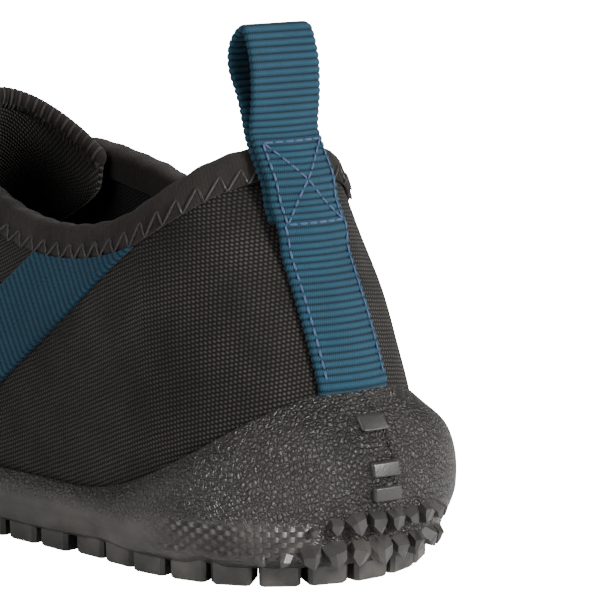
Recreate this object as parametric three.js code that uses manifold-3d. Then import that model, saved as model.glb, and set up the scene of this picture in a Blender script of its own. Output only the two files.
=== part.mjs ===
// A low water shoe for the left foot: a stretch upper of laminated neoprene panels
// on a moulded rubber cup sole, with a webbing heel strap that ends in a pull loop.
// Millimetres. +Z is up, the toe points to -Y, +X is the outer (lateral) side.
// The origin is on the ground, in the middle of the shoe's box.

import * as THREE from 'three';
import { mergeVertices } from 'three/addons/utils/BufferGeometryUtils.js';
import Module from 'manifold-3d';

// ---------- driving dimensions ----------

const shoeLength = 278; // over the rubber, heel to toe
const heelWidth = 63; // upper at the feather line, across the heel
const waistWidth = 63; // the same across the narrow of the foot
const ballWidth = 93.5; // the same across the ball of the foot
const collarHeight = 86; // top edge of the quarters at the heel
const ankleHeight = 67.3; // top edge of the quarters below the ankle bone
const throatHeight = 78; // top edge of the quarters at the front of the opening
const vampHeight = 62; // upper at the foot of the throat
const toeHeight = 36; // upper where the toe begins to round down
const collarWidth = 53; // over the quarters at the ankle opening
const throatWidth = 38; // gap between the quarters at the front of the opening
const heelLean = 27.5; // how far the collar stands forward of the heel base

const treadDepth = 4;
const soleThickness = 4; // rubber between the tread and the foot
const cupHeightHeel = 38.5; // rubber rim above the ground
const cupHeightWaist = 15;
const cupHeightToe = 28;
const cupBulgeHeel = 8; // how far the rubber stands out of the upper
const cupBulgeSide = 3.2;
const cupLip = 1.2; // rubber thickness at the rim

const panelThickness = 3; // laminated neoprene
const foamThickness = 4; // cushion under the board
const boardThickness = 1.6;
const insoleThickness = 4;
const insoleClothThickness = 0.7;
const counterThickness = 1;
const counterHeight = 50;
const liningThickness = 0.8;
const webbingWidth = 18;
const webbingThickness = 1.3;
const bindingThickness = 1.1;
const bindingHeight = 6.5;
const loopHeight = 25; // above the collar
const loopDepth = 7.6; // between the loop's two strands where it is widest
const tailLength = 17; // webbing end sewn down behind the top of the strap
const instepThickness = 2.6;
const instepHeight = 91; // top of the instep panel's middle
const gap = 0.3; // between pieces that touch
const plateGap = 0.6; // between the upper and the flat layers inside the cup
const webbingGap = 0.45; // under webbing that is sewn to the upper

const blockLength = 13; // tread blocks, along the shoe
const blockWidth = 10;
const blockGroove = 3.5;
const blockSink = 1; // how far a block reaches up into the sole plate

// ---------- levels ----------

const floorZ = treadDepth + soleThickness;
const footZ = floorZ + gap; // lower edge of the upper
const boardZ = footZ + foamThickness + gap;
const insoleZ = boardZ + boardThickness + gap;
const insoleClothZ = insoleZ + insoleThickness + gap;
const liningOffset = panelThickness + gap + counterThickness + gap;
const bindingInner = panelThickness + gap;

// ---------- stations around the foot ----------
// Each station is one rib of the upper, from the feather line to the top edge.
// along: share of the shoe's length from the heel base. side: [outer, inner] half-widths.

const heelEnd = shoeLength / 2 - cupBulgeHeel; // heel of the feather line
const toeEnd = -shoeLength / 2 + cupBulgeSide + 1.5;
const upperLength = heelEnd - toeEnd;
const heelHalf = heelWidth / 2;
const waistSpread = waistWidth / 2;
const ballHalf = ballWidth / 2;
const collarHalf = collarWidth / 2;
const throatHalf = throatWidth / 2;
const collarY = heelEnd - heelLean;

const stations = [
  { along: 0.0, side: [0, 0], top: [0, 0, collarHeight], belly: 5 },
  { along: 0.018, side: [0.52 * heelHalf, 0.5 * heelHalf], top: [0.55, 2.4, collarHeight - 2.6], belly: 5 },
  { along: 0.062, side: [0.85 * heelHalf, 0.83 * heelHalf], top: [0.84, 8.3, collarHeight - 8.2], belly: 4.6 },
  { along: 0.126, side: [heelHalf, 0.985 * heelHalf], top: [0.985, 19.5, ankleHeight + 3.3], belly: 4 },
  { along: 0.206, side: [1.04 * waistSpread, 0.98 * waistSpread], top: [1.0, 36, ankleHeight], belly: 3.6 },
  { along: 0.31, side: [1.1 * waistSpread, 0.9 * waistSpread], top: [0.99, 54, ankleHeight + 1.4], belly: 3 },
  { along: 0.422, side: [1.22 * waistSpread, 0.88 * waistSpread], top: [0.93, 73, throatHeight - 3.6], belly: 3 },
  { along: 0.542, side: [0.92 * ballHalf, 0.7 * ballHalf], top: [0.72, 93.5, throatHeight], belly: 3 },
  { along: 0.661, side: [ballHalf, 0.9 * ballHalf], top: [0.44, 121, throatHeight - 6.5], belly: 2.5 },
  { along: 0.765, side: [1.01 * ballHalf, 0.99 * ballHalf], top: [0, 149.5, vampHeight], belly: 2 },
  { along: 0.855, side: [0.92 * ballHalf, 0.96 * ballHalf], top: [0, 172, 0.7], belly: 2 },
  { along: 0.925, side: [0.75 * ballHalf, 0.82 * ballHalf], top: [0, 190, 0.42], belly: 1.5 },
  { along: 0.977, side: [0.45 * ballHalf, 0.55 * ballHalf], top: [0, 204, 0.18], belly: 1 },
  { along: 1.0, side: [-0.05 * ballHalf, 0.05 * ballHalf], top: [0, 214, 0], belly: 0.5 },
];
const lastStation = stations.length - 1;
const throatStation = 9; // foot of the throat, where the vamp's seam is
const topReach = 258.7; // length over which the top points above are laid out

const stationY = (station) => heelEnd - station.along * upperLength;
const topPoint = (index, side) => {
  const { top } = stations[index];
  const y = collarY - top[1] * (upperLength / topReach);
  const reach = index === 7 ? throatHalf : top[0] * collarHalf;
  const onRidge = index > throatStation;
  const z = onRidge ? toeHeight + top[2] * (vampHeight - toeHeight) : top[2];
  return new THREE.Vector3(side * reach, y, z);
};
const basePoint = (index, side) => {
  const station = stations[index];
  const reach = side > 0 ? station.side[0] : station.side[1];
  return new THREE.Vector3(side * reach, stationY(station), footZ);
};

const around = (point, last) => {
  const points = [];
  for (let i = last; i > 0; i -= 1) points.push(point(i, 1));
  for (let i = 0; i <= last; i += 1) points.push(point(i, -1));
  return points;
};
const loopPoints = around(basePoint, lastStation);
loopPoints.pop();
const baseLoop = new THREE.CatmullRomCurve3(loopPoints, true, 'catmullrom', 0.5);
const collarCurve = new THREE.CatmullRomCurve3(around(topPoint, throatStation), false, 'catmullrom', 0.5);
const ridgePoints = [];
for (let i = throatStation; i <= lastStation; i += 1) ridgePoints.push(topPoint(i, 1));
const ridgeCurve = new THREE.CatmullRomCurve3(ridgePoints, false, 'catmullrom', 0.5);

// place: signed distance round the foot in stations, + outer side, 0 at the heel.
const baseAt = (place) => baseLoop.getPoint((lastStation - place) / (2 * lastStation));
const baseOutward = (place) => {
  const tangent = baseLoop.getTangent(((lastStation - place) / (2 * lastStation)) % 1);
  return new THREE.Vector3(tangent.y, -tangent.x, 0).normalize();
};
const topAt = (place) => {
  const distance = Math.abs(place);
  if (distance <= throatStation) {
    return collarCurve.getPoint((throatStation - place) / (2 * throatStation));
  }
  return ridgeCurve.getPoint((distance - throatStation) / (lastStation - throatStation));
};
const lerp = THREE.MathUtils.lerp;
const smooth = THREE.MathUtils.smoothstep;
const stationValue = (place, read) => {
  const distance = Math.min(Math.abs(place), lastStation);
  const low = Math.min(Math.floor(distance), lastStation - 1);
  return lerp(read(stations[low]), read(stations[low + 1]), distance - low);
};

// ---------- the upper's outer surface ----------

const ridgeSlope = (place) => {
  const step = 0.05;
  const a = topAt(Math.min(Math.abs(place), lastStation - step));
  const b = topAt(Math.min(Math.abs(place) + step, lastStation));
  return (b.z - a.z) / (b.y - a.y);
};
const ribs = new Map();
const ribAt = (place) => {
  const key = Math.round(place * 1e6);
  if (ribs.has(key)) return ribs.get(key);
  const start = baseAt(place);
  const end = topAt(place);
  const flat = smooth(Math.abs(place), 6, throatStation);
  const height = end.z - start.z;
  const rise = height * lerp(0.3, 0.42, flat);
  const first = start.clone().addScaledVector(baseOutward(place), stationValue(place, (s) => s.belly));
  first.z += rise;
  const standing = first.clone().sub(end).multiplyScalar(0.42);
  const lying = first.clone().sub(end).multiplyScalar(0.55);
  lying.z = Math.abs(place) > throatStation ? lying.y * ridgeSlope(place) : lying.z * 0.25;
  const second = end.clone().add(standing.lerp(lying, flat));
  const rib = new THREE.CubicBezierCurve3(start, first, second, end);
  ribs.set(key, rib);
  return rib;
};
const skin = (place, rise) => ribAt(place).getPoint(rise);
const outwardAt = (place, rise) => {
  const step = 0.02;
  const ahead = skin(place + step, rise);
  const behind = skin(place - step, rise);
  const up = ribAt(place).getTangent(THREE.MathUtils.clamp(rise, 0.02, 0.98));
  return behind.sub(ahead).cross(up).normalize();
};
const onSkin = (place, rise, offset = 0) =>
  skin(place, rise).addScaledVector(outwardAt(place, rise), offset);
const riseBelowTop = (place, distance) => 1 - distance / ribAt(place).getLength();
const riseAtHeight = (place, z) => {
  let low = 0;
  let high = 1;
  for (let i = 0; i < 30; i += 1) {
    const middle = (low + high) / 2;
    if (skin(place, middle).z < z) low = middle;
    else high = middle;
  }
  return low;
};

// ---------- building closed bodies ----------

const finish = (positions, index) => {
  const geometry = new THREE.BufferGeometry();
  geometry.setAttribute('position', new THREE.Float32BufferAttribute(positions, 3));
  geometry.setIndex(index);
  const merged = mergeVertices(geometry, 1e-4);
  const kept = [];
  const old = merged.index.array;
  for (let i = 0; i < old.length; i += 3) {
    const [a, b, c] = [old[i], old[i + 1], old[i + 2]];
    if (a !== b && b !== c && a !== c) kept.push(a, b, c);
  }
  merged.setIndex(kept);
  merged.computeVertexNormals();
  return merged;
};

// A sheet with two faces: point(i, j, face) gives the near (0) and far (1) face.
const sheetBody = (rows, columns, point, foldedEnd = false) => {
  const positions = [];
  const index = [];
  const id = (i, j, face) => (face * (rows + 1) + i) * (columns + 1) + j;
  for (let face = 0; face < 2; face += 1) {
    for (let i = 0; i <= rows; i += 1) {
      for (let j = 0; j <= columns; j += 1) positions.push(...point(i, j, face).toArray());
    }
  }
  const quad = (a, b, c, d) => index.push(a, b, c, a, c, d);
  for (let i = 0; i < rows; i += 1) {
    for (let j = 0; j < columns; j += 1) {
      quad(id(i, j, 1), id(i + 1, j, 1), id(i + 1, j + 1, 1), id(i, j + 1, 1));
      quad(id(i, j, 0), id(i, j + 1, 0), id(i + 1, j + 1, 0), id(i + 1, j, 0));
    }
  }
  for (let i = 0; i < rows; i += 1) {
    quad(id(i, 0, 0), id(i + 1, 0, 0), id(i + 1, 0, 1), id(i, 0, 1));
    quad(id(i, columns, 1), id(i + 1, columns, 1), id(i + 1, columns, 0), id(i, columns, 0));
  }
  for (let j = 0; j < columns; j += 1) {
    quad(id(0, j, 1), id(0, j + 1, 1), id(0, j + 1, 0), id(0, j, 0));
    if (!foldedEnd) quad(id(rows, j, 0), id(rows, j + 1, 0), id(rows, j + 1, 1), id(rows, j, 1));
  }
  return finish(positions, index);
};

// A section swept through rows of points; each row is a closed outline.
const sweptBody = (sections) => {
  const positions = [];
  const index = [];
  const count = sections[0].length;
  for (const section of sections) {
    for (const point of section) positions.push(...point.toArray());
  }
  for (let i = 0; i + 1 < sections.length; i += 1) {
    for (let j = 0; j < count; j += 1) {
      const next = (j + 1) % count;
      const a = i * count;
      const b = a + count;
      index.push(a + j, b + j, b + next, a + j, b + next, a + next);
    }
  }
  const capFaces = capTriangles(sections[0]);
  for (const [a, b, c] of capFaces) index.push(a, b, c);
  const offset = (sections.length - 1) * count;
  for (const [a, b, c] of capFaces) index.push(offset + c, offset + b, offset + a);
  return finish(positions, index);
};
const capTriangles = (section) => {
  const origin = section[0];
  const normal = new THREE.Vector3();
  for (let j = 0; j < section.length; j += 1) {
    const a = section[j].clone().sub(origin);
    const b = section[(j + 1) % section.length].clone().sub(origin);
    normal.add(a.cross(b));
  }
  normal.normalize();
  const across = new THREE.Vector3().subVectors(section[1], section[0]).normalize();
  const along = new THREE.Vector3().crossVectors(normal, across);
  const flat = section.map((point) => {
    const arm = point.clone().sub(origin);
    return new THREE.Vector2(arm.dot(across), arm.dot(along));
  });
  return THREE.ShapeUtils.triangulateShape(flat, []);
};

const wasm = await Module();
wasm.setup();
const outwardFacing = (geometry) => {
  let volume = 0;
  const position = geometry.attributes.position;
  const index = geometry.index;
  const corner = [new THREE.Vector3(), new THREE.Vector3(), new THREE.Vector3()];
  for (let i = 0; i < index.count; i += 3) {
    for (let k = 0; k < 3; k += 1) corner[k].fromBufferAttribute(position, index.getX(i + k));
    volume += corner[0].dot(corner[1].clone().cross(corner[2])) / 6;
  }
  if (volume > 0) return geometry;
  const turned = [];
  for (let i = 0; i < index.count; i += 3) {
    turned.push(index.getX(i), index.getX(i + 2), index.getX(i + 1));
  }
  geometry.setIndex(turned);
  return geometry;
};
const solidOf = (geometry) => {
  const bare = geometry.clone();
  bare.deleteAttribute('normal');
  bare.deleteAttribute('uv');
  const merged = outwardFacing(mergeVertices(bare, 1e-4));
  return new wasm.Manifold(
    new wasm.Mesh({
      numProp: 3,
      vertProperties: new Float32Array(merged.attributes.position.array),
      triVerts: new Uint32Array(merged.index.array),
    }),
  );
};
const geometryOf = (solid) => {
  const mesh = solid.getMesh();
  const geometry = new THREE.BufferGeometry();
  geometry.setAttribute('position', new THREE.Float32BufferAttribute(mesh.vertProperties, 3));
  geometry.setIndex(Array.from(mesh.triVerts));
  geometry.computeVertexNormals();
  return geometry;
};

const shoe = new THREE.Group();
const addPart = (name, geometry, color, roughness, metalness = 0) => {
  const material = new THREE.MeshStandardMaterial({ color, roughness, metalness });
  const mesh = new THREE.Mesh(outwardFacing(geometry), material);
  mesh.name = name;
  shoe.add(mesh);
};

// ---------- colours ----------

const rubberColor = 0x4d4b49;
const knitColor = 0x2b2a29;
const bindingColor = 0x4d4542;
const webbingColor = 0x2f5f78;
const liningColor = 0x161616;
const foamColor = 0x3a3a3c;
const boardColor = 0xb9b4a6;
const counterColor = 0x8e8e8c;

// ---------- outsole: rubber cup with moulded tread blocks ----------

const rimHeight = (place) => {
  const distance = Math.abs(place);
  const heelShare = 1 - smooth(distance, 0.2, 4);
  const toeShare = smooth(distance, 6, lastStation);
  return cupHeightWaist + (cupHeightHeel - cupHeightWaist) * heelShare
    + (cupHeightToe - cupHeightWaist) * toeShare;
};
const cupBulge = (place) => lerp(cupBulgeHeel, cupBulgeSide, smooth(Math.abs(place), 0, 4.5));
// height share of the wall, share of the bulge there
const wallShape = [[0, 0.25], [0.14, 0.86], [0.45, 1], [0.68, 0.94], [0.85, 0.64]];
const cupRows = 4; // inner wall rows

const cupOutside = (place, [heightShare, bulgeShare]) => {
  const rim = rimHeight(place);
  const z = treadDepth + (rim - treadDepth) * heightShare;
  const rise = riseAtHeight(place, Math.max(z, footZ));
  const bulge = (cupBulge(place) - cupLip) * bulgeShare;
  const point = skin(place, rise).addScaledVector(baseOutward(place), gap + cupLip + bulge);
  point.z = z;
  return point;
};
const cupSection = (place) => {
  const rim = rimHeight(place);
  const lean = baseOutward(place);
  const outside = wallShape.map((share) => cupOutside(place, share));
  const lipRise = riseAtHeight(place, rim);
  const lip = skin(place, lipRise).addScaledVector(lean, gap + cupLip);
  const lipInside = skin(place, lipRise).addScaledVector(lean, gap);
  const inside = [];
  for (let i = 1; i <= cupRows; i += 1) {
    const z = lerp(rim, footZ, i / cupRows);
    inside.push(skin(place, riseAtHeight(place, z)).addScaledVector(lean, gap));
  }
  const foot = inside.at(-1).clone();
  foot.z = floorZ;
  return [...outside, lip, lipInside, ...inside, foot];
};

const soleSteps = 6 * lastStation; // three to a station, as the panels have
const solePlaces = [];
for (let i = 0; i < soleSteps; i += 1) {
  solePlaces.push(lastStation - (2 * lastStation * i) / soleSteps);
}
const outsoleBody = () => {
  const positions = [];
  const index = [];
  const sections = solePlaces.map(cupSection);
  const count = sections[0].length;
  for (const section of sections) {
    for (const point of section) positions.push(...point.toArray());
  }
  for (let i = 0; i < soleSteps; i += 1) {
    const here = i * count;
    const next = ((i + 1) % soleSteps) * count;
    for (let j = 0; j + 1 < count; j += 1) {
      index.push(here + j, next + j, next + j + 1, here + j, next + j + 1, here + j + 1);
    }
  }
  const plan = (j) => sections.map((section) => new THREE.Vector2(section[j].x, section[j].y));
  for (const [a, b, c] of THREE.ShapeUtils.triangulateShape(plan(0), [])) {
    index.push(c * count, b * count, a * count);
  }
  const top = count - 1;
  for (const [a, b, c] of THREE.ShapeUtils.triangulateShape(plan(top), [])) {
    index.push(a * count + top, b * count + top, c * count + top);
  }
  return finish(positions, index);
};

const insideOutline = (outline, x, y) => {
  let inside = false;
  for (let i = 0, j = outline.length - 1; i < outline.length; j = i, i += 1) {
    const [a, b] = [outline[i], outline[j]];
    const crosses = a.y > y !== b.y > y;
    if (crosses && x < ((b.x - a.x) * (y - a.y)) / (b.y - a.y) + a.x) inside = !inside;
  }
  return inside;
};
const treadBlocks = () => {
  const edge = solePlaces.map((place) => cupOutside(place, wallShape[0]));
  const blocks = [];
  const pitchY = blockLength + blockGroove;
  const pitchX = blockWidth + blockGroove;
  const countY = Math.floor(shoeLength / pitchY / 2);
  const countX = Math.ceil(ballWidth / pitchX / 2);
  const halfX = blockWidth / 2;
  const halfY = blockLength / 2;
  for (let row = -countY; row <= countY; row += 1) {
    for (let column = -countX; column <= countX; column += 1) {
      const x = column * pitchX;
      const y = row * pitchY;
      const corners = [[-1, -1], [1, -1], [1, 1], [-1, 1]];
      const fits = corners.every(([sx, sy]) => insideOutline(edge, x + sx * halfX, y + sy * halfY));
      if (!fits) continue;
      const block = new THREE.BoxGeometry(blockWidth, blockLength, treadDepth + blockSink);
      block.translate(x, y, (treadDepth + blockSink) / 2);
      blocks.push(solidOf(block));
    }
  }
  return blocks;
};
let outsole = solidOf(outsoleBody());
for (const block of treadBlocks()) outsole = outsole.add(block);
addPart('outsole', geometryOf(outsole), rubberColor, 0.55);

// ---------- flat layers inside the cup ----------

// the upper's outline at the narrower of two heights, drawn in by an inset
const innerOutline = (inset, low, high) =>
  solePlaces.map((place) => {
    const start = baseAt(place);
    const outward = baseOutward(place);
    const reach = (z) => skin(place, riseAtHeight(place, z)).sub(start).dot(outward);
    const point = start.addScaledVector(outward, Math.min(reach(low), reach(high)) - inset);
    return new THREE.Vector2(point.x, point.y);
  });
const plate = (inset, z, thickness) => {
  const shape = new THREE.Shape(innerOutline(inset, z, z + thickness));
  const geometry = new THREE.ExtrudeGeometry(shape, { depth: thickness, bevelEnabled: false });
  geometry.translate(0, 0, z);
  geometry.deleteAttribute('normal');
  geometry.deleteAttribute('uv');
  return mergeVertices(geometry, 1e-4);
};
const boardInset = panelThickness + plateGap;
const insoleInset = liningOffset + liningThickness + 1.2;
addPart('midsole_foam', plate(boardInset, footZ, foamThickness), foamColor, 0.9);
addPart('strobel_board', plate(boardInset, boardZ, boardThickness), boardColor, 0.9);
addPart('insole_foam', plate(insoleInset, insoleZ, insoleThickness), foamColor, 0.9);
addPart('insole_cloth', plate(insoleInset, insoleClothZ, insoleClothThickness), liningColor, 0.95);

// ---------- upper panels ----------

const seamGap = 0.06; // in stations, between two panels that meet edge to edge
const panelRows = 27;
const panelRises = 9;
const panelPlaces = [];
for (let i = 0; i <= panelRows; i += 1) {
  panelPlaces.push(lerp(seamGap / 4, throatStation - seamGap, i / panelRows));
}
const quarterRise = (place, j) => {
  const bindingLow = riseBelowTop(place, bindingHeight);
  const bindingMiddle = riseBelowTop(place, bindingHeight / 2);
  if (j === panelRises) return 1;
  if (j === panelRises - 1) return bindingMiddle;
  return (bindingLow * j) / (panelRises - 2);
};
const quarterBody = (side) => {
  const point = (i, j, face) => {
    const place = side * panelPlaces[i];
    return onSkin(place, quarterRise(place, j), face ? 0 : -panelThickness);
  };
  return sheetBody(panelRows, panelRises, point);
};
addPart('quarter_lateral', quarterBody(1), knitColor, 0.9);
addPart('quarter_medial', quarterBody(-1), knitColor, 0.9);

const vampRows = 12;
const vampBody = () => {
  const point = (i, j, face) => {
    const place = lerp(throatStation, lastStation, i / vampRows);
    const half = panelRises;
    const rise = j <= half ? j / half : (2 * half - j) / half;
    const side = j <= half ? 1 : -1;
    const normal = outwardAt(side * place, rise);
    const meets = j === half || i === vampRows;
    if (meets) normal.add(outwardAt(-side * place, rise)).normalize();
    return skin(side * place, rise).addScaledVector(normal, face ? 0 : -panelThickness);
  };
  return sheetBody(vampRows, 2 * panelRises, point, true);
};
addPart('vamp', vampBody(), knitColor, 0.9);

// ---------- heel counter and lining, inside the quarters ----------

const heelWrap = 3.6; // stations that the counter reaches forward on each side
const liningWrap = 5;
const wrapBody = (wrap, steps, rises, lowAt, highAt, offset, thickness) => {
  const point = (i, j, face) => {
    const place = lerp(wrap, -wrap, i / steps);
    const rise = lerp(lowAt(place), highAt(place), j / rises);
    return onSkin(place, rise, face ? -offset : -offset - thickness);
  };
  return sheetBody(steps, rises, point);
};
const insideFloor = insoleClothZ + insoleClothThickness;
const counterLow = (place) => riseAtHeight(place, insoleZ + gap);
const counterTop = (place) => lerp(counterHeight, insideFloor + 8, Math.abs(place) / heelWrap);
const counterHigh = (place) => riseAtHeight(place, counterTop(place));
addPart(
  'heel_counter',
  wrapBody(heelWrap, 20, 4, counterLow, counterHigh, panelThickness + gap, counterThickness),
  counterColor,
  0.6,
);
const liningLow = (place) => riseAtHeight(place, insoleZ + gap);
const liningHigh = (place) => riseBelowTop(place, 1.5);
addPart(
  'heel_lining',
  wrapBody(liningWrap, 28, 6, liningLow, liningHigh, liningOffset, liningThickness),
  liningColor,
  0.95,
);

// ---------- collar binding: one folded tape round the opening and the throat ----------

const bindingSection = (place) => {
  const low = riseBelowTop(place, bindingHeight);
  const middle = riseBelowTop(place, bindingHeight / 2);
  const edge = skin(place, 1);
  const outward = outwardAt(place, 1);
  const up = ribAt(place).getTangent(0.98);
  const over = (offset, lift) => edge.clone().addScaledVector(outward, offset).addScaledVector(up, lift);
  const far = gap + bindingThickness;
  const inner = bindingInner;
  const innerFar = bindingInner + bindingThickness;
  return [
    onSkin(place, low, gap),
    onSkin(place, low, far),
    onSkin(place, middle, far),
    over(far, 0),
    over(far - 0.8, far),
    over(-innerFar + 0.8, far),
    over(-innerFar, 0),
    onSkin(place, middle, -innerFar),
    onSkin(place, low, -innerFar),
    onSkin(place, low, -inner),
    onSkin(place, middle, -inner),
    over(-inner, gap),
    over(gap, gap),
    onSkin(place, middle, gap),
  ];
};
const bindingEnd = throatStation - 0.4;
const bindingBody = () => {
  const outerSide = panelPlaces.filter((place) => place < bindingEnd).reverse();
  const innerSide = outerSide.map((place) => -place).reverse();
  return sweptBody([...outerSide, ...innerSide].map(bindingSection));
};
addPart('collar_binding', bindingBody(), bindingColor, 0.95);

// ---------- webbing on the outside ----------

// place on the skin that has a given coordinate along one axis and a given height
const placeOnSkin = (axis, value, z, guess) => {
  let place = guess;
  for (let i = 0; i < 12; i += 1) {
    const here = skin(place, riseAtHeight(place, z))[axis];
    const step = 0.05;
    const there = skin(place + step, riseAtHeight(place + step, z))[axis];
    place += ((value - here) / (there - here)) * step;
  }
  return { place, rise: riseAtHeight(place, z) };
};

const strapSteps = 14;
const tailSteps = 6;
const strapAcross = 6;
const halfWebbing = webbingWidth / 2;
const strapEnd = skin(0, 1).z;
const tailLow = skin(0, riseBelowTop(0, tailLength)).z;
// gap under webbing at the middle of the heel: it climbs over the binding, and over the tail
const overBinding = (z) => {
  const bindingEdge = skin(0, riseBelowTop(0, bindingHeight)).z;
  return webbingGap + smooth(z, bindingEdge - 7, bindingEdge - 2) * (bindingThickness + webbingGap);
};
const overTail = (z) => smooth(z, tailLow - 7, tailLow - 1.5) * (webbingThickness + webbingGap);
const heelWebbingPoint = (x, z, offset) => {
  const reach = strapEnd - 2.5;
  const { place, rise } = placeOnSkin('x', x, Math.min(z, reach), x * 0.06);
  const point = onSkin(place, rise, offset);
  if (z > reach) point.addScaledVector(ribAt(0).getTangent(0.98), z - reach);
  return point;
};
const heelWebbing = (low, steps, offsetAt) => {
  const point = (i, j, face) => {
    const z = lerp(low, strapEnd, i / steps);
    const x = lerp(halfWebbing, -halfWebbing, j / strapAcross);
    return heelWebbingPoint(x, z, offsetAt(z) + (face ? webbingThickness : 0));
  };
  return sheetBody(steps, strapAcross, point);
};
const strapLow = rimHeight(0) + gap;
const strapBody = () => heelWebbing(strapLow, strapSteps, (z) => overBinding(z) + overTail(z));
addPart('heel_strap', strapBody(), webbingColor, 0.85);

const bandAngle = THREE.MathUtils.degToRad(41); // band below the horizontal
const bandStart = heelEnd - 62; // middle of the band at the collar binding
const bandSteps = 10;
const bandAcross = 4;
const bandBody = (side) => {
  const direction = [-Math.cos(bandAngle), -Math.sin(bandAngle)];
  const across = [-direction[1], direction[0]];
  const bindingAt = (place) => riseBelowTop(place, bindingHeight + 2 * gap);
  const point = (i, j, face) => {
    const shift = lerp(-halfWebbing, halfWebbing, j / bandAcross);
    const startY = bandStart + shift * across[0];
    const startZ = ankleHeight - bindingHeight + shift * across[1];
    const along = (z) => startY + ((startZ - z) / -direction[1]) * direction[0];
    let topZ = startZ;
    for (let k = 0; k < 12; k += 1) {
      const spot = placeOnSkin('y', along(topZ), topZ, side * 4);
      topZ = skin(spot.place, bindingAt(spot.place)).z;
    }
    let lowZ = cupHeightWaist + 2;
    for (let k = 0; k < 12; k += 1) {
      const spot = placeOnSkin('y', along(lowZ), lowZ, side * 5);
      lowZ = rimHeight(spot.place) + gap + 0.4;
    }
    const z = lerp(lowZ, topZ, i / bandSteps);
    const { place, rise } = placeOnSkin('y', along(z), z, side * 4.5);
    return onSkin(place, rise, webbingGap + (face ? webbingThickness : 0));
  };
  return sheetBody(bandSteps, bandAcross, point);
};
addPart('side_band_lateral', bandBody(1), webbingColor, 0.85);
addPart('side_band_medial', bandBody(-1), webbingColor, 0.85);

// ---------- pull loop and its sewn tail ----------

const strandShape = (points, thickness) => {
  const curve = new THREE.SplineCurve(points.map(([y, z]) => new THREE.Vector2(y, z)));
  const steps = 28;
  const near = [];
  const far = [];
  for (let i = 0; i <= steps; i += 1) {
    const point = curve.getPoint(i / steps);
    const tangent = curve.getTangent(i / steps);
    const normal = new THREE.Vector2(-tangent.y, tangent.x).multiplyScalar(thickness / 2);
    near.push(point.clone().add(normal));
    far.push(point.clone().sub(normal));
  }
  return new THREE.Shape([...near, ...far.reverse()]);
};
// webbing lying in the YZ plane, extruded over its width
const webbingBody = (points) => {
  const options = { depth: webbingWidth, bevelEnabled: false };
  const geometry = new THREE.ExtrudeGeometry(strandShape(points, webbingThickness), options);
  geometry.rotateX(Math.PI / 2);
  geometry.rotateZ(Math.PI / 2);
  geometry.translate(-halfWebbing, 0, 0);
  geometry.deleteAttribute('normal');
  geometry.deleteAttribute('uv');
  return mergeVertices(geometry, 1e-4);
};
const halfStrand = webbingThickness / 2;
const heelUp = ribAt(0).getTangent(0.98);
// a strand starts just above the curved end of the webbing that it carries on from
const footGap = 4 * gap;
const strandFoot = (offset, lift) => {
  const foot = heelWebbingPoint(0, strapEnd, overBinding(strapEnd) + offset + halfStrand);
  return foot.addScaledVector(heelUp, footGap + lift);
};
const frontFoot = strandFoot(overTail(strapEnd), 0);
const frontRise = strandFoot(overTail(strapEnd), 1.8);
const backFoot = strandFoot(0, 0);
const backRise = strandFoot(0, 1.8);
const loopTopZ = collarHeight + loopHeight;
const loopZ = (share) => lerp(frontFoot.z, loopTopZ, share);
const loopBackY = frontRise.y - 0.4 - loopDepth;
const loopPath = [
  [frontFoot.y, frontFoot.z],
  [frontRise.y, frontRise.z],
  [frontRise.y - 0.4, loopZ(0.38)],
  [frontRise.y - 0.9, loopZ(0.68)],
  [frontRise.y - 3.6, loopTopZ - halfStrand],
  [loopBackY + 0.7, loopZ(0.84)],
  [loopBackY, loopZ(0.6)],
  [lerp(loopBackY, backRise.y, 0.45), loopZ(0.3)],
  [backRise.y, backRise.z],
  [backFoot.y, backFoot.z],
];
addPart('pull_loop', webbingBody(loopPath), webbingColor, 0.85);

const tailBody = () => heelWebbing(tailLow, tailSteps, overBinding);
addPart('loop_tail', tailBody(), webbingColor, 0.85);

// ---------- instep panel and its rolled hem ----------

// middle line of the panel: distance behind the throat's foot and height
const throatFoot = topAt(throatStation);
const underVamp = (place, clearance) => {
  const point = onSkin(place, 1, -(panelThickness + clearance + instepThickness / 2));
  return point.setX(0);
};
const instepLine = new THREE.CatmullRomCurve3([
  underVamp(throatStation + 0.6, 2 * gap),
  underVamp(throatStation + 0.05, 2 * gap + bindingThickness),
  new THREE.Vector3(0, throatFoot.y + 18, vampHeight - 2.5),
  new THREE.Vector3(0, throatFoot.y + 31, vampHeight + 3.5),
  new THREE.Vector3(0, throatFoot.y + 45, lerp(vampHeight, instepHeight, 0.6)),
  new THREE.Vector3(0, throatFoot.y + 52, instepHeight),
]);
const instepArc = THREE.MathUtils.degToRad(78);
const instepAt = (share, across) => {
  const middle = instepLine.getPoint(share);
  const half = lerp(10, throatHalf - 3.2, smooth(share, 0, 0.6));
  const drop = lerp(4, 15, share);
  const sweep = lerp(0, 19, smooth(share, 0.25, 1));
  const turn = across * instepArc;
  const bend = (1 - Math.cos(turn)) / (1 - Math.cos(instepArc));
  const reach = Math.sin(turn) / Math.sin(instepArc);
  return new THREE.Vector3(half * reach, middle.y + sweep * bend, middle.z - drop * bend);
};
const instepNormal = (share, across) => {
  const step = 0.01;
  const low = Math.max(share - step, 0);
  const high = Math.min(share + step, 1);
  const up = instepAt(high, across).sub(instepAt(low, across));
  const sideways = instepAt(share, across + step).sub(instepAt(share, across - step));
  return sideways.cross(up).normalize().negate();
};
const instepRows = 10;
const instepColumns = 12;
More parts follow.
